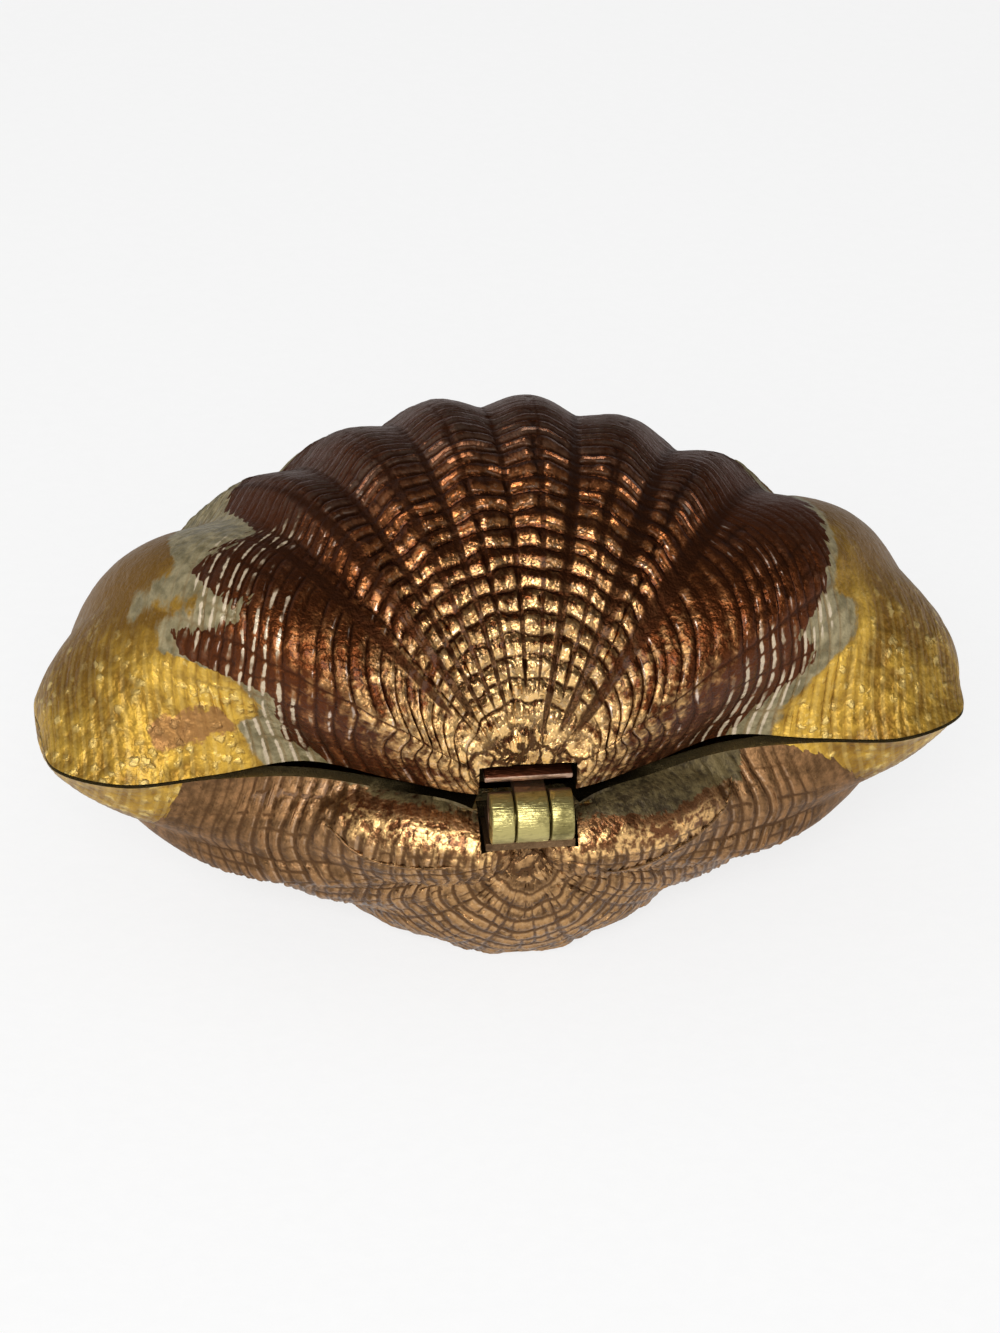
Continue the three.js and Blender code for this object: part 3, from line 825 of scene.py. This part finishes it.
def extruded(outline, low, high, axis, edge=0, slot=0):
    """Closed bar, an outline in the other two axes drawn along x or z, with its ends rounded by edge"""
    outline = np.array(outline, float)
    along = unit(np.roll(outline, -1, 0) - np.roll(outline, 1, 0))
    outward = np.stack([along[:, 1], -along[:, 0]], 1)
    turns = np.linspace(0, math.pi / 2, EDGE_STEPS + 1) if edge else [math.pi / 2]
    ends = [(edge * (1 - math.sin(turn)), edge * (1 - math.cos(turn))) for turn in turns]
    places = [(low + back, inset) for inset, back in ends]
    places += [(high - back, inset) for inset, back in ends[::-1]]
    column = 0 if axis == "x" else 2
    return bridged([np.insert(outline - outward * inset, column, place, 1) for place, inset in places], slot)


def tube(points, radius):
    """Closed round wire along points, thinner at its ends"""
    rings = []
    for place, (point, ahead) in enumerate(zip(points, unit(np.gradient(points, axis=0)))):
        side = unit(np.cross(ahead, (0, 0.3, 1)))
        up = np.cross(side, ahead)
        from_end = min(place, len(points) - 1 - place) / BEAD_TAPER
        size = radius * (0.2 + 0.8 * min(1, from_end))
        rings.append([point + size * (c * side + s * up) for c, s in circle(1, BEAD_SIDES)])
    return bridged(rings, 0)


def combine(piece, bm, operation):
    """Boolean of a closed piece with a closed body; the body is painted brown"""
    materials = list(piece.data.materials)
    other = from_bmesh("other", bm, materials)
    for key, value in PLAIN_PAINT.items():
        if key in piece.data.attributes:
            set_fact(other.data, key, np.full(len(other.data.vertices), value, np.float32))
    cut = piece.modifiers.new("cut", "BOOLEAN")
    cut.operation = operation
    cut.solver = "MANIFOLD"
    cut.object = other
    depsgraph = bpy.context.evaluated_depsgraph_get()
    mesh = bpy.data.meshes.new_from_object(piece.evaluated_get(depsgraph))
    piece.modifiers.clear()
    old = piece.data
    piece.data = mesh
    bpy.data.meshes.remove(old)
    bpy.data.objects.remove(other)
    return piece


def body_of(piece):
    """The piece's mesh as a body for a boolean; the piece itself is removed"""
    bm = bmesh.new()
    bm.from_mesh(piece.data)
    bpy.data.objects.remove(piece)
    return bm


def cavity_grid(valve):
    overrun = SEAM_GAP + SHELF_DROP
    share_w = np.linspace(-FOLDS_PER_SIDE, FOLDS_PER_SIDE, INNER_COLUMNS + 1)
    share_t = np.linspace(0, 1, INNER_ROWS + 1)
    w, t = np.meshgrid(share_w, share_t, indexing="ij")
    points = smooth_points(valve, w, t)
    crown = valve.height - WALL
    deep = 1 - (WALL - overrun) / valve.height
    scale = np.array([1 - WALL / MARGIN_HALF_WIDTH, 1 + WALL / MIDDLE[1], deep])
    points = (points - MIDDLE) * scale + MIDDLE
    points[..., 2] -= valve.side * overrun
    points[..., 2] = np.clip(points[..., 2], -crown, crown)
    return points


def between(side, near, far):
    return min(side * near, side * far), max(side * near, side * far)


def cavity(valve, metal):
    """Hollow of a casting, with the hinge block and magnet boss left standing and their pockets cut"""
    side = valve.side
    roof = BARREL_RADIUS + SEAT_GAP + valve.leaf + SEAT_GAP

    def box(half_width, reach, top):
        low, high = between(side, -CUT_MARGIN, top)
        return block((-half_width, -reach, low), (half_width, CUT_MARGIN, high))

    def drum(radius, top):
        low, high = between(side, -CUT_MARGIN, top)
        return extruded(circle(radius, centre=MAGNET_PLACE), low, high, "z", slot=1)

    space = closed_mesh("cavity", cavity_grid(valve), {}, [metal, metal], INNER_MAP)
    space.data.vertices[1].co.z -= side * (SEAM_GAP + SHELF_DROP) * MM
    hinge_block = box(BLOCK_HALF_WIDTH, POCKET_REACH + HINGE_BLOCK_WALL, roof + HINGE_BLOCK_WALL)
    space = combine(space, hinge_block, "DIFFERENCE")
    space = combine(space, drum(BOSS_RADIUS, BOSS_HEIGHT), "DIFFERENCE")
    space = combine(space, box(POCKET_HALF_WIDTH, POCKET_REACH, roof), "UNION")
    seat = drum(MAGNET_RADIUS + SEAT_GAP, MAGNET_DEPTH + MAGNET_THICKNESS + SEAT_GAP)
    return combine(space, seat, "UNION")


def shell(name, valve, enamel, metal):
    points, facts = engraved_shell(valve)
    piece = closed_mesh(name, points, facts, [enamel, metal], OUTER_MAP)
    if valve is BASE:
        low = (-BLOCK_HALF_WIDTH, -POCKET_REACH - HINGE_BLOCK_WALL, -BASE_UMBO_DROP)
        bridge = block(low, (BLOCK_HALF_WIDTH, *BRIDGE_CORNER), slot=0)
        piece = combine(piece, bridge, "UNION")
        for nodes in EAR_BEADS:
            piece = combine(piece, tube(ear_bead(nodes), BEAD_RADIUS), "UNION")
    piece = combine(piece, body_of(cavity(valve, metal)), "DIFFERENCE")
    piece.data.set_sharp_from_angle(angle=SHARP_ANGLE)
    return piece


def knuckle(name, side, low, high, metal):
    """Rolled strap of the hinge with the tail that lies against its leaf; the lid's shows its seam"""
    lip = BARREL_RADIUS - TAIL_THICKNESS
    last = math.pi - math.asin(lip / BARREL_RADIUS) - 2 * math.pi
    turns = np.linspace(math.pi / 2, last, BARREL_STEPS)
    outline = [(BARREL_RADIUS * math.cos(turn), side * BARREL_RADIUS * math.sin(turn)) for turn in turns]
    outline = [(-LEAF_REACH, side * BARREL_RADIUS)] + outline + [(-LEAF_REACH, side * lip)]
    if side > 0:
        outline = outline[::-1]
    piece = from_bmesh(name, extruded(outline, low, high, "x", KNUCKLE_EDGE), [metal])
    piece = combine(piece, extruded(circle(BORE_RADIUS, BORE_SIDES), low - 1, high + 1, "x"), "DIFFERENCE")
    if side > 0:
        left, right = -SLIT_HALF, SLIT_HALF
        slit = [(left, -SLIT_NEAR), (right, -SLIT_NEAR), (right, -SLIT_FAR), (left, -SLIT_FAR)]
        cut = extruded(slit, low - 1, high + 1, "x")
        turn = Matrix.Rotation(SLIT_TURN, 4, "X")
        bmesh.ops.rotate(cut, verts=cut.verts, cent=HINGE, matrix=turn)
        piece = combine(piece, cut, "DIFFERENCE")
    piece.data.set_sharp_from_angle(angle=SHARP_ANGLE)
    return piece


# Materials
class Value:
    """What a node gives, with the arithmetic that leads it through further nodes"""

    def __init__(self, graph, socket):
        self.graph = graph
        self.socket = socket

    def __add__(self, other):
        return self.graph.math("ADD", self, other)

    def __sub__(self, other):
        return self.graph.math("SUBTRACT", self, other)

    def __rsub__(self, other):
        return self.graph.math("SUBTRACT", other, self)

    def __mul__(self, other):
        return self.graph.math("MULTIPLY", self, other)

    def __abs__(self):
        return self.graph.math("ABSOLUTE", self)


class Graph:
    """Nodes of one material, or of the world"""

    def __init__(self, owner):
        owner.use_nodes = True
        self.owner = owner
        self.tree = owner.node_tree
        self.place = self.result("ShaderNodeTexCoord", "Object")

    def result(self, kind, output, inputs=None, **settings):
        """Output of a new node, with its inputs and settings"""
        made = self.tree.nodes.new(kind)
        for key, value in settings.items():
            setattr(made, key, value)
        for key, value in (inputs or {}).items():
            self.put(made.inputs[key], value)
        return Value(self, made.outputs[output])

    def put(self, socket, value):
        if isinstance(value, Value):
            self.tree.links.new(value.socket, socket)
        elif isinstance(value, tuple) and socket.type == "RGBA":
            socket.default_value = (*value, 1)
        else:
            socket.default_value = value

    def fact(self, name):
        return self.result("ShaderNodeAttribute", "Fac", attribute_name=name)

    def rays(self, kind):
        """One for the rays of a kind, such as Camera"""
        return self.result("ShaderNodeLightPath", f"Is {kind} Ray")

    def axis(self, name):
        return self.result("ShaderNodeSeparateXYZ", name, {0: self.place})

    def math(self, operation, *values):
        return self.result("ShaderNodeMath", 0, dict(enumerate(values)), operation=operation)

    def vector(self, operation, inputs, output="Vector"):
        return self.result("ShaderNodeVectorMath", output, inputs, operation=operation)

    def most(self, value, *others):
        """Largest of some values"""
        for other in others:
            value = self.math("MAXIMUM", value, other)
        return value

    def step(self, value, low, high, start=0.0, end=1.0):
        """Smooth way from start to end while a value goes from low to high"""
        inputs = {"Value": value, "From Min": low, "From Max": high, "To Min": start, "To Max": end}
        return self.result("ShaderNodeMapRange", "Result", inputs, interpolation_type="SMOOTHSTEP")

    def noise_at(self, place, scale, detail, rough):
        """Noise around nought, from about -1 to 1"""
        inputs = {"Vector": place, "Scale": scale, "Detail": detail, "Roughness": rough}
        return self.math("MULTIPLY_ADD", self.result("ShaderNodeTexNoise", "Fac", inputs), 4.0, -2.0)

    def noise(self, span, detail=2.0, rough=0.5, stretch=(1, 1, 1)):
        """Noise with features of a span in millimetres"""
        place = self.result("ShaderNodeMapping", "Vector", {"Vector": self.place, "Scale": stretch})
        return self.noise_at(place, 1 / (span * MM), detail, rough)

    def dragged(self):
        """Noise in streaks along the growth lines"""
        across = self.fact("w") * (RIB_SPAN / DRAG_LENGTH)
        along = self.fact("t") * (VALVE_SPAN / DRAG_WIDTH)
        place = self.result("ShaderNodeCombineXYZ", "Vector", {"X": across, "Y": along})
        return self.noise_at(place, 1.0, 2.0, 0.6)

    def drops(self, span, **settings):
        """Distances in a net of bent cells of a span in millimetres"""
        scale = 1 / (span * MM)
        wander = self.result("ShaderNodeTexNoise", "Color", {"Vector": self.place, "Scale": 2 * scale})
        scaled = self.vector("SCALE", {0: self.place, "Scale": scale})
        bent = self.vector("ADD", {0: scaled, 1: self.vector("SCALE", {0: wander, "Scale": 0.8})})
        return self.result("ShaderNodeTexVoronoi", "Distance", {"Vector": bent, "Scale": 1.0}, **settings)

    def crackle(self, span):
        """Net of dark veins around bent cells"""
        return self.step(self.drops(span, feature="DISTANCE_TO_EDGE"), 0.04, 0.16, 1.0, 0.0)

    def spots(self, span):
        """Round raised drops, one to each bent cell"""
        return self.step(self.drops(span), 0.16, 0.4, 1.0, 0.0)

    def cells(self, span):
        """Random value of each grain of a span in millimetres"""
        inputs = {"Vector": self.place, "Scale": 1 / (span * MM)}
        colour = self.result("ShaderNodeTexVoronoi", "Color", inputs)
        return self.result("ShaderNodeSeparateColor", "Red", {"Color": colour})

    def blend(self, share, first, second):
        """Colour between two others by a share"""
        return self.result("ShaderNodeMix", 2, {0: share, 6: first, 7: second}, data_type="RGBA")

    def level(self, share, first, second):
        """Number between two others by a share"""
        inputs = {"Value": share, "To Min": first, "To Max": second}
        return self.result("ShaderNodeMapRange", "Result", inputs)

    def bump(self, height, depth):
        """Normal from a height around one, with a depth in millimetres"""
        return self.result("ShaderNodeBump", "Normal", {"Height": height, "Distance": depth * MM})

    def finish(self, colour, metallic, roughness, normal, **constants):
        shader = self.tree.nodes["Principled BSDF"].inputs
        linked = {"Base Color": colour, "Metallic": metallic, "Roughness": roughness, "Normal": normal}
        for key, value in linked.items():
            self.put(shader[key], value)
        for key, value in constants.items():
            shader[key.replace("_", " ")].default_value = value
        return self.owner


def enamel(name, look):
    """Translucent enamel brushed over cast metal: brown, with cream and gold towards the tips"""
    look = SimpleNamespace(**look)
    g = Graph(bpy.data.materials.new(name))
    groove, ridge, band, tone, pool = [g.fact(key) for key in ("groove", "ridge", "band", "tone", "pool")]
    brown, gold, pink, streak = [g.fact(key) for key in ("brown", "gold", "pink", "streak")]
    w, t, ear, top, facet = [g.fact(key) for key in ("w", "t", "ear", "top", "facet")]
    coarse = g.noise(2.2, 3.0)
    medium = g.noise(0.9)
    fine = g.noise(0.36, 2.0, 0.6)
    drag = g.dragged()
    grain = g.cells(0.24)
    flank = g.step(abs(w), 2.2, 3.2)

    # Brown: copper, brighter near the hinge partly as painted light, greyer at the top partly as a painted
    # sheen, lit along the rows
    far = g.step(t, 0.1, 0.4)
    copper = g.blend(far, look.near, look.far)
    # Greyer at the top: partly the brown's own tone, partly a painted sheen of the surroundings at the
    # grazing edge
    copper = g.blend(g.step(t, 0.36, 0.52), copper, look.top)
    share = g.level(g.step(t, 0.05, 0.3), look.start, look.end) + tone * 0.12
    share = share + medium * g.level(far, 0.5, 0.22) + fine * 0.2 + coarse * 0.12
    # Painted highlight: the hinge side of each row lightened, where the cells slope towards the lamp
    lit = g.level(flank, look.edge_light, look.edge_flank)
    share = share + band * g.step(t, 0.42, 0.6, 1.0, 0.4) * lit
    # On the lid the flanks are darker, the right more: partly the brown's own tone, partly painted shade on
    # sides turned from the lamp
    share = share + g.step(w, -3.3, -2.6, look.right_tone, 0.0)
    share = share + g.step(w, 2.6, 3.3, 0.0, look.left_tone)
    brown_colour = g.blend(g.step(share, 0.05, 0.95), look.deep, copper)
    # Painted glints: bright grains in the brown near the hinge
    glint = g.step(grain, 0.72, 0.9) * g.step(share, 0.35, 0.75) * (1.0 - g.step(t, 0.3, 0.5))
    brown_colour = g.blend(glint * look.glint, brown_colour, look.spark)

    # Painted highlight on the bulge of the ears with painted shade along their upper edge, and light metal on
    # the ridges, partly wear and partly painted glints
    lip = top + medium * 0.5 + fine * 0.25
    # Painted highlight: a bright band across the ears' bulge
    bright = ear * g.step(lip, -0.3, -0.8) * g.step(lip, -3.2, -1.6)
    flakes = g.step(medium + fine * 0.7, -0.5, 0.7)
    brown_colour = g.blend(bright, brown_colour, g.blend(flakes, look.lip_deep, look.lip))
    # Painted shade along the ears' upper edge
    brown_colour = g.blend(ear * g.step(lip, -0.7, -0.2) * 0.8, brown_colour, look.lip_deep)
    # Light metal on the ridges: partly bare wear, partly painted glints where the ridges catch the lamp
    worn = g.step(ridge + g.noise(1.6) * 0.4 + flank * 0.2, 0.75, 1.15)
    wear_and_glint_flank = g.step(w, -2.8, 2.8, look.worn_right, look.worn_left) * (1.0 - g.step(t, 0.5, 0.65))
    worn = worn * g.level(flank, look.worn, wear_and_glint_flank) * (1.0 - g.step(t, 0.45, 0.62))
    brown_colour = g.blend(worn, brown_colour, look.metal)

    # Borders, with light rows that run into the brown
    soft_edge = coarse * 0.35 + medium * 0.35 + drag * 0.3 + fine * 0.15
    brushed_edge = coarse * 0.35 + medium * 0.3 + drag * 0.9 + band * 0.6
    light_band = g.step(ridge + band * 0.45 + medium * 0.22, 0.5, 0.75)
    streaks = light_band * g.step(streak + coarse * 2.0, -0.8, 0.8) * 0.95
    gold_mask = g.step(gold + soft_edge, -0.4, 0.4)
    brown_mask = g.step(brown + brushed_edge, -0.12, 0.12) * (1.0 - streaks)
    pink_mask = g.step(pink + medium * 0.2 + fine * 0.15, -0.1, 0.15)

    # Gold with speckles and raised drops, partly painted glints and highlights, and cream with painted
    # highlights on its ridges
    mottle = coarse * 0.25 + medium * 0.18
    # Brighter on the low facets: partly the gold's own tone, partly painted highlight where they face the
    # lamp
    gold_share = g.level(facet, 0.33, 0.48) + mottle * g.level(facet, 0.45, 1.0) + tone * 0.04
    gold_share = gold_share + g.step(gold, 1.0, 7.0, 0.3, 0.0) * facet
    # Painted shade: a dark line along the fold valley between the gold lobes
    valley = g.step(abs(w + coarse * 0.03 - 4.05), 0.02, 0.09, 0.45, 0.0)
    smooth_part = g.step(t, 0.56, 0.64) * g.step(abs(w), 4.45, 4.75, 0.3, 0.04)
    gold_share = gold_share - valley - smooth_part
    gold_colour = g.blend(g.step(gold_share, 0.1, 0.9), look.gold_deep, look.gold)
    # Speckles and raised drops, partly painted glints, and the hinge side of the facets lightened as painted
    # highlight
    dots = g.step(grain, 0.86, 0.96) * g.step(coarse, -0.2, 1.0) * (1.0 - g.step(t, 0.45, 0.7))
    spots = g.spots(1.1) * gold_mask * g.step(coarse, -0.7, 0.5) * g.level(facet, 0.03, 1.0)
    for light in (dots * 0.6, spots * 0.5, g.step(band, 0.3, 1.0) * facet * 0.12):
        gold_colour = g.blend(light, gold_colour, look.gold_spark)
    cream_colour = g.blend(g.step(medium * 0.3 + 0.5, 0.2, 0.8), look.cream_deep, look.cream)
    # Painted highlight on the ridges in the cream, then pale streaks of paint
    for light in (g.step(ridge, 0.4, 1.0) * 0.6, streaks * 0.7):
        cream_colour = g.blend(light, cream_colour, look.cream_light)
    colour = g.blend(gold_mask, cream_colour, gold_colour)
    colour = g.blend(pink_mask * 0.85, colour, look.pink)
    colour = g.blend(brown_mask, colour, brown_colour)

    # Dark enamel in the lines, pools and veins, and bare metal over the ears
    ink = g.math("MULTIPLY_ADD", medium, 0.15, 0.95)
    dark = g.step(groove, 0.08, 0.62) * ink * g.level(brown_mask, look.pale_groove, look.groove)
    pooled_dark = g.step(pool + medium * 0.12, 0.2, 0.6) * brown_mask * look.pool
    hinge_veins = g.step(t, look.veins * 0.6, look.veins, 1.0, 0.0)
    crazed = g.most(hinge_veins, g.step(t, 0.2, 0.36, look.crazed, 0.0))
    veins = g.crackle(1.5) * crazed * (1.0 - ear)
    shade = g.most(dark, pooled_dark, veins * 0.95)
    colour = g.blend(shade, colour, g.blend(brown_mask, look.pale_shade, look.shade))
    bare = g.step(top + medium * 0.25 + fine * 0.2, -0.1, 0.1)
    olive = g.blend(g.step(medium + coarse + fine, -1.4, 1.4), look.bare_deep, look.bare)
    colour = g.blend(bare, colour, olive)

    # Gloss and relief
    metallic = g.level(brown_mask, g.level(gold_mask, 0.2, 0.72), 0.97) * g.level(bare, 1.0, 0.6)
    roughness = g.level(brown_mask, look.gold_rough, look.rough) + fine * 0.05 + medium * 0.04
    roughness = roughness - worn * 0.08 - bright * 0.1 + g.step(t, 0.36, 0.55) * 0.22
    roughness = roughness + flank * brown_mask * 0.12 + bare * 0.15 + pooled_dark * 0.2
    hammered = gold_mask * facet * (1.0 - brown_mask)
    relief = fine * 0.7 + medium * 0.8 + grain * 0.3 - veins * 2.0
    relief = relief * g.level(hammered, 1.0, 0.6) + spots * 3.0
    relief = relief + hammered * (medium * 1.2 + coarse * 4.0)
    coat = {"Coat_Weight": look.coat, "Coat_Roughness": look.coat_rough}
    return g.finish(colour, metallic, roughness, g.bump(relief, look.relief), **coat)


def worn_metal(name, bright, dark, roughness, brush, relief, shade_reach=0.01, top=None, strap=None):
    """Old plated metal: brushed, stained in patches and a little pitted

    It is painted darker, as shade, within a given reach of the hinge's middle, where the recess round the
    barrel lies, and above the height top, both in millimetres, and has the colour strap in front of the
    hinge's barrel."""
    g = Graph(bpy.data.materials.new(name))
    stain = g.step(g.noise(2.5, 4.0, 0.6) + g.noise(0.4) * 0.3, -0.3, 1.1)
    lines = g.noise(0.12, 2.0, 0.6, brush)
    pits = g.step(g.noise(0.3, 1.0), 1.0, 1.4)
    from_hinge = g.vector("DISTANCE", {0: g.place, 1: HINGE}, "Value")
    # Painted shade: darker within the given reach of the hinge's middle, over the shadowed recess round the
    # barrel
    painted_hinge_shade = g.step(from_hinge, shade_reach * MM, shade_reach * MM * 0.6)
    share = g.most(stain * 0.75 + lines * 0.12, pits * 0.7, painted_hinge_shade)
    # Painted shade over the top of the leaf plate
    if top:
        share = g.most(share, g.step(g.axis("Z"), HINGE.z + (top - 0.05) * MM, HINGE.z + top * MM))
    if strap:
        behind = g.step(g.axis("Y"), HINGE.y - STRAP_START * MM, HINGE.y - STRAP_END * MM)
        bright = g.blend(behind, strap, bright)
    rough = stain * 0.18 + roughness + lines * 0.05
    height = lines * 0.5 - pits * 0.8 + g.noise(0.6, 3.0) * 0.6
    return g.finish(g.blend(share, bright, dark), 1.0, rough, g.bump(height, relief))


# Enamel colours; the lip, glint, ridge-metal and cream ridge colours stand in part for painted highlights and
# glints, the top colour in part for a painted sheen
LID_LOOK = dict(
    near=(0.95, 0.6, 0.24), far=(0.48, 0.162, 0.047), top=(0.145, 0.09, 0.062),
    deep=(0.11, 0.03, 0.008), start=0.72, end=0.16, right_tone=-0.15, left_tone=-0.1,
    veins=0.11, crazed=0.55,
    lip=(1.0, 0.62, 0.25), lip_deep=(0.18, 0.07, 0.026), edge_light=0.68, edge_flank=0.2,
    spark=(0.95, 0.74, 0.5), glint=0.28, metal=(0.9, 0.72, 0.58), worn=0.3,
    worn_left=0.85, worn_right=0.85,
    gold=(0.69, 0.42, 0.055), gold_deep=(0.22, 0.105, 0.008), gold_spark=(0.95, 0.74, 0.28),
    cream=(0.33, 0.27, 0.145), cream_deep=(0.14, 0.112, 0.048), cream_light=(0.72, 0.58, 0.42),
    pink=(0.32, 0.145, 0.05), shade=(0.055, 0.016, 0.005), pale_shade=(0.17, 0.085, 0.014),
    bare=(0.17, 0.125, 0.05), bare_deep=(0.045, 0.03, 0.012),
    groove=0.95, pale_groove=0.6, pool=0.94, rough=0.3, gold_rough=0.3, relief=0.04,
    coat=0.05, coat_rough=0.12,
)
BASE_LOOK = LID_LOOK | dict(
    near=(0.5, 0.28, 0.115), far=(0.38, 0.205, 0.088), top=(0.38, 0.205, 0.088),
    deep=(0.12, 0.06, 0.023), start=0.45, end=0.42, right_tone=0.0, left_tone=0.0,
    veins=0.065, crazed=0.0,
    edge_light=0.3, edge_flank=0.2, spark=(0.65, 0.42, 0.22), glint=0.35,
    metal=(0.65, 0.45, 0.3), worn=0.3, worn_left=0.3, worn_right=0.3,
    shade=(0.105, 0.048, 0.018), groove=0.88, pool=0.5, rough=0.35,
    coat=0.1, coat_rough=0.2,
)
lid_enamel = enamel("lid_enamel", LID_LOOK)
base_enamel = enamel("base_enamel", BASE_LOOK)
cast_brass = worn_metal("cast_brass", (0.34, 0.26, 0.12), (0.03, 0.022, 0.01), 0.45, (1, 1, 1), 0.05, shade_reach=14)
hinge_brass = worn_metal(
    "hinge_brass", (0.54, 0.46, 0.18), (0.08, 0.065, 0.018), 0.36, (0.1, 1, 1), 0.03, strap=(0.36, 0.22, 0.14)
)
leaf_bronze = worn_metal(
    "leaf_bronze", (0.62, 0.42, 0.3), (0.06, 0.018, 0.008), 0.36, (0.2, 1, 1), 0.02, top=LEAF_SHADED_ABOVE
)
plate_brown = worn_metal("plate_brown", (0.2, 0.12, 0.06), (0.05, 0.025, 0.012), 0.45, (0.5, 1, 1), 0.04)
magnet_nickel = worn_metal("magnet_nickel", (0.6, 0.61, 0.63), (0.35, 0.35, 0.36), 0.25, (1, 1, 1), 0.006)


# Pieces
def placed(piece, body, node):
    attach(piece, body)
    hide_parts(node)


placed(shell("lid_casting", LID, lid_enamel, cast_brass), "lid", "lid_shell")
placed(shell("base_casting", BASE, base_enamel, cast_brass), "base", "base_shell")
centre_end = ROLLED_CENTRE / 2
side_start = centre_end + ROLLED_GAP
side_end = side_start + ROLLED_SIDE
for body, ending, low, high in (
    ("lid", "", -centre_end, centre_end),
    ("base", "_left", side_start, side_end),
    ("base", "_right", -side_end, -side_start),
):
    rolled = knuckle(body + "_knuckle" + ending, 1 if body == "lid" else -1, low, high, hinge_brass)
    placed(rolled, body, body + "_hinge_knuckle" + ending)
rod = extruded(circle(PIN_RADIUS, BORE_SIDES), -side_end, side_end, "x", PIN_EDGE)
pin = from_bmesh("hinge_rivet", rod, [hinge_brass])
placed(pin, "base", "hinge_pin")
for valve, body in ((LID, "lid"), (BASE, "base")):
    low, high = between(valve.side, MAGNET_DEPTH, MAGNET_DEPTH + MAGNET_THICKNESS)
    outline = circle(MAGNET_RADIUS, centre=MAGNET_PLACE)
    disc = from_bmesh(body + "_magnet_disc", extruded(outline, low, high, "z", MAGNET_EDGE), [magnet_nickel])
    placed(disc, body, body + "_magnet")
bar = extruded(LID_PLATE, -PLATE_END, PLATE_END, "x", LEAF_EDGE)
plate = from_bmesh("lid_leaf_plate", bar, [leaf_bronze])
plate.data.set_sharp_from_angle(angle=SHARP_ANGLE)
placed(plate, "lid", "lid_hinge_leaf")
plate = frame["nodes"]["base_hinge_leaf"]
for slot in plate.material_slots:
    slot.material = plate_brown
soft = plate.modifiers.new("edge", "BEVEL")
soft.width = LEAF_EDGE * MM
soft.segments = EDGE_STEPS


# Camera, lamps and surroundings
def aimed(name, data, location, target):
    """New camera or lamp at a location, turned to a target"""
    made = bpy.data.objects.new(name, data)
    bpy.context.scene.collection.objects.link(made)
    made.location = location
    made.rotation_mode = "QUATERNION"
    made.rotation_quaternion = (target - location).to_track_quat("-Z", "Y")
    return made


def place_camera():
    """Camera at the photograph's angle, aimed so that the hinge falls on its pixel"""
    data = bpy.data.cameras.new("camera")
    data.sensor_width = SENSOR_WIDTH
    data.lens = FOCAL_PIXELS / max(IMAGE_SIZE) * SENSOR_WIDTH
    flat = math.cos(CAMERA_ELEVATION)
    away = Vector((math.sin(CAMERA_TURN) * flat, math.cos(CAMERA_TURN) * flat, math.sin(CAMERA_ELEVATION)))
    right = Vector((0, 0, 1)).cross(away).normalized()
    up = away.cross(right)
    pixel = CAMERA_DISTANCE / FOCAL_PIXELS
    aim = HINGE - right * (HINGE_PIXEL[0] - IMAGE_SIZE[0] / 2) * pixel
    aim += up * (HINGE_PIXEL[1] - IMAGE_SIZE[1] / 2) * pixel
    bpy.context.scene.camera = aimed("camera", data, HINGE + away * CAMERA_DISTANCE, aim)


def softbox(name, direction, distance, size, power):
    data = bpy.data.lights.new(name, "AREA")
    data.shape = "RECTANGLE"
    data.size, data.size_y = size
    data.energy = power
    aimed(name, data, HINGE + Vector(direction).normalized() * distance, HINGE)


def studio_world():
    """White surroundings for what the camera and reflections see, with a darker ceiling, and soft light"""
    world = bpy.data.worlds.new("world")
    bpy.context.scene.world = world
    g = Graph(world)
    height = g.result("ShaderNodeSeparateXYZ", "Z", {0: g.result("ShaderNodeTexCoord", "Generated")})
    ceiling = g.step(height, 0.0, 0.3, 0.6, CEILING_LEVEL)
    level = AMBIENT_LEVEL
    for kind, seen in (("Glossy", ceiling), ("Transmission", ceiling), ("Camera", 1.0)):
        level = g.result("ShaderNodeMix", 0, {0: g.rays(kind), 2: level, 3: seen})
    background = g.tree.nodes["Background"].inputs
    g.put(background["Strength"], level)
    g.put(background["Color"], WHITE)


def floor():
    """Pale floor, white to the camera and in reflections, that keeps the object's shadow"""
    bm = bmesh.new()
    bmesh.ops.create_grid(bm, x_segments=1, y_segments=1, size=FLOOR_HALF_SIZE)
    g = Graph(bpy.data.materials.new("floor"))
    grain = g.noise(1.5)
    g.finish(g.blend(g.step(grain, -1.0, 1.0), *FLOOR_TONES), 0.0, 0.8, g.bump(grain, 0.01))
    seen = g.most(g.rays("Camera"), g.rays("Glossy"), g.rays("Transmission"))
    lit = Value(g, g.tree.nodes["Principled BSDF"].outputs[0])
    glow = g.result("ShaderNodeEmission", 0, {"Color": WHITE, "Strength": 1.0})
    mixed = g.result("ShaderNodeMixShader", 0, {0: seen * FLOOR_GLOW, 1: lit, 2: glow})
    g.put(g.tree.nodes["Material Output"].inputs["Surface"], mixed)
    from_bmesh("floor", bm, [g.owner])


place_camera()
softbox("key", direction=(0.25, 1, 0.68), distance=0.5, size=(0.3, 0.2), power=2.2)
softbox("fill", direction=(0.9, -0.7, 0.9), distance=0.6, size=(0.3, 0.3), power=0.3)
studio_world()
floor()
bpy.context.scene.view_settings.view_transform = "Standard"
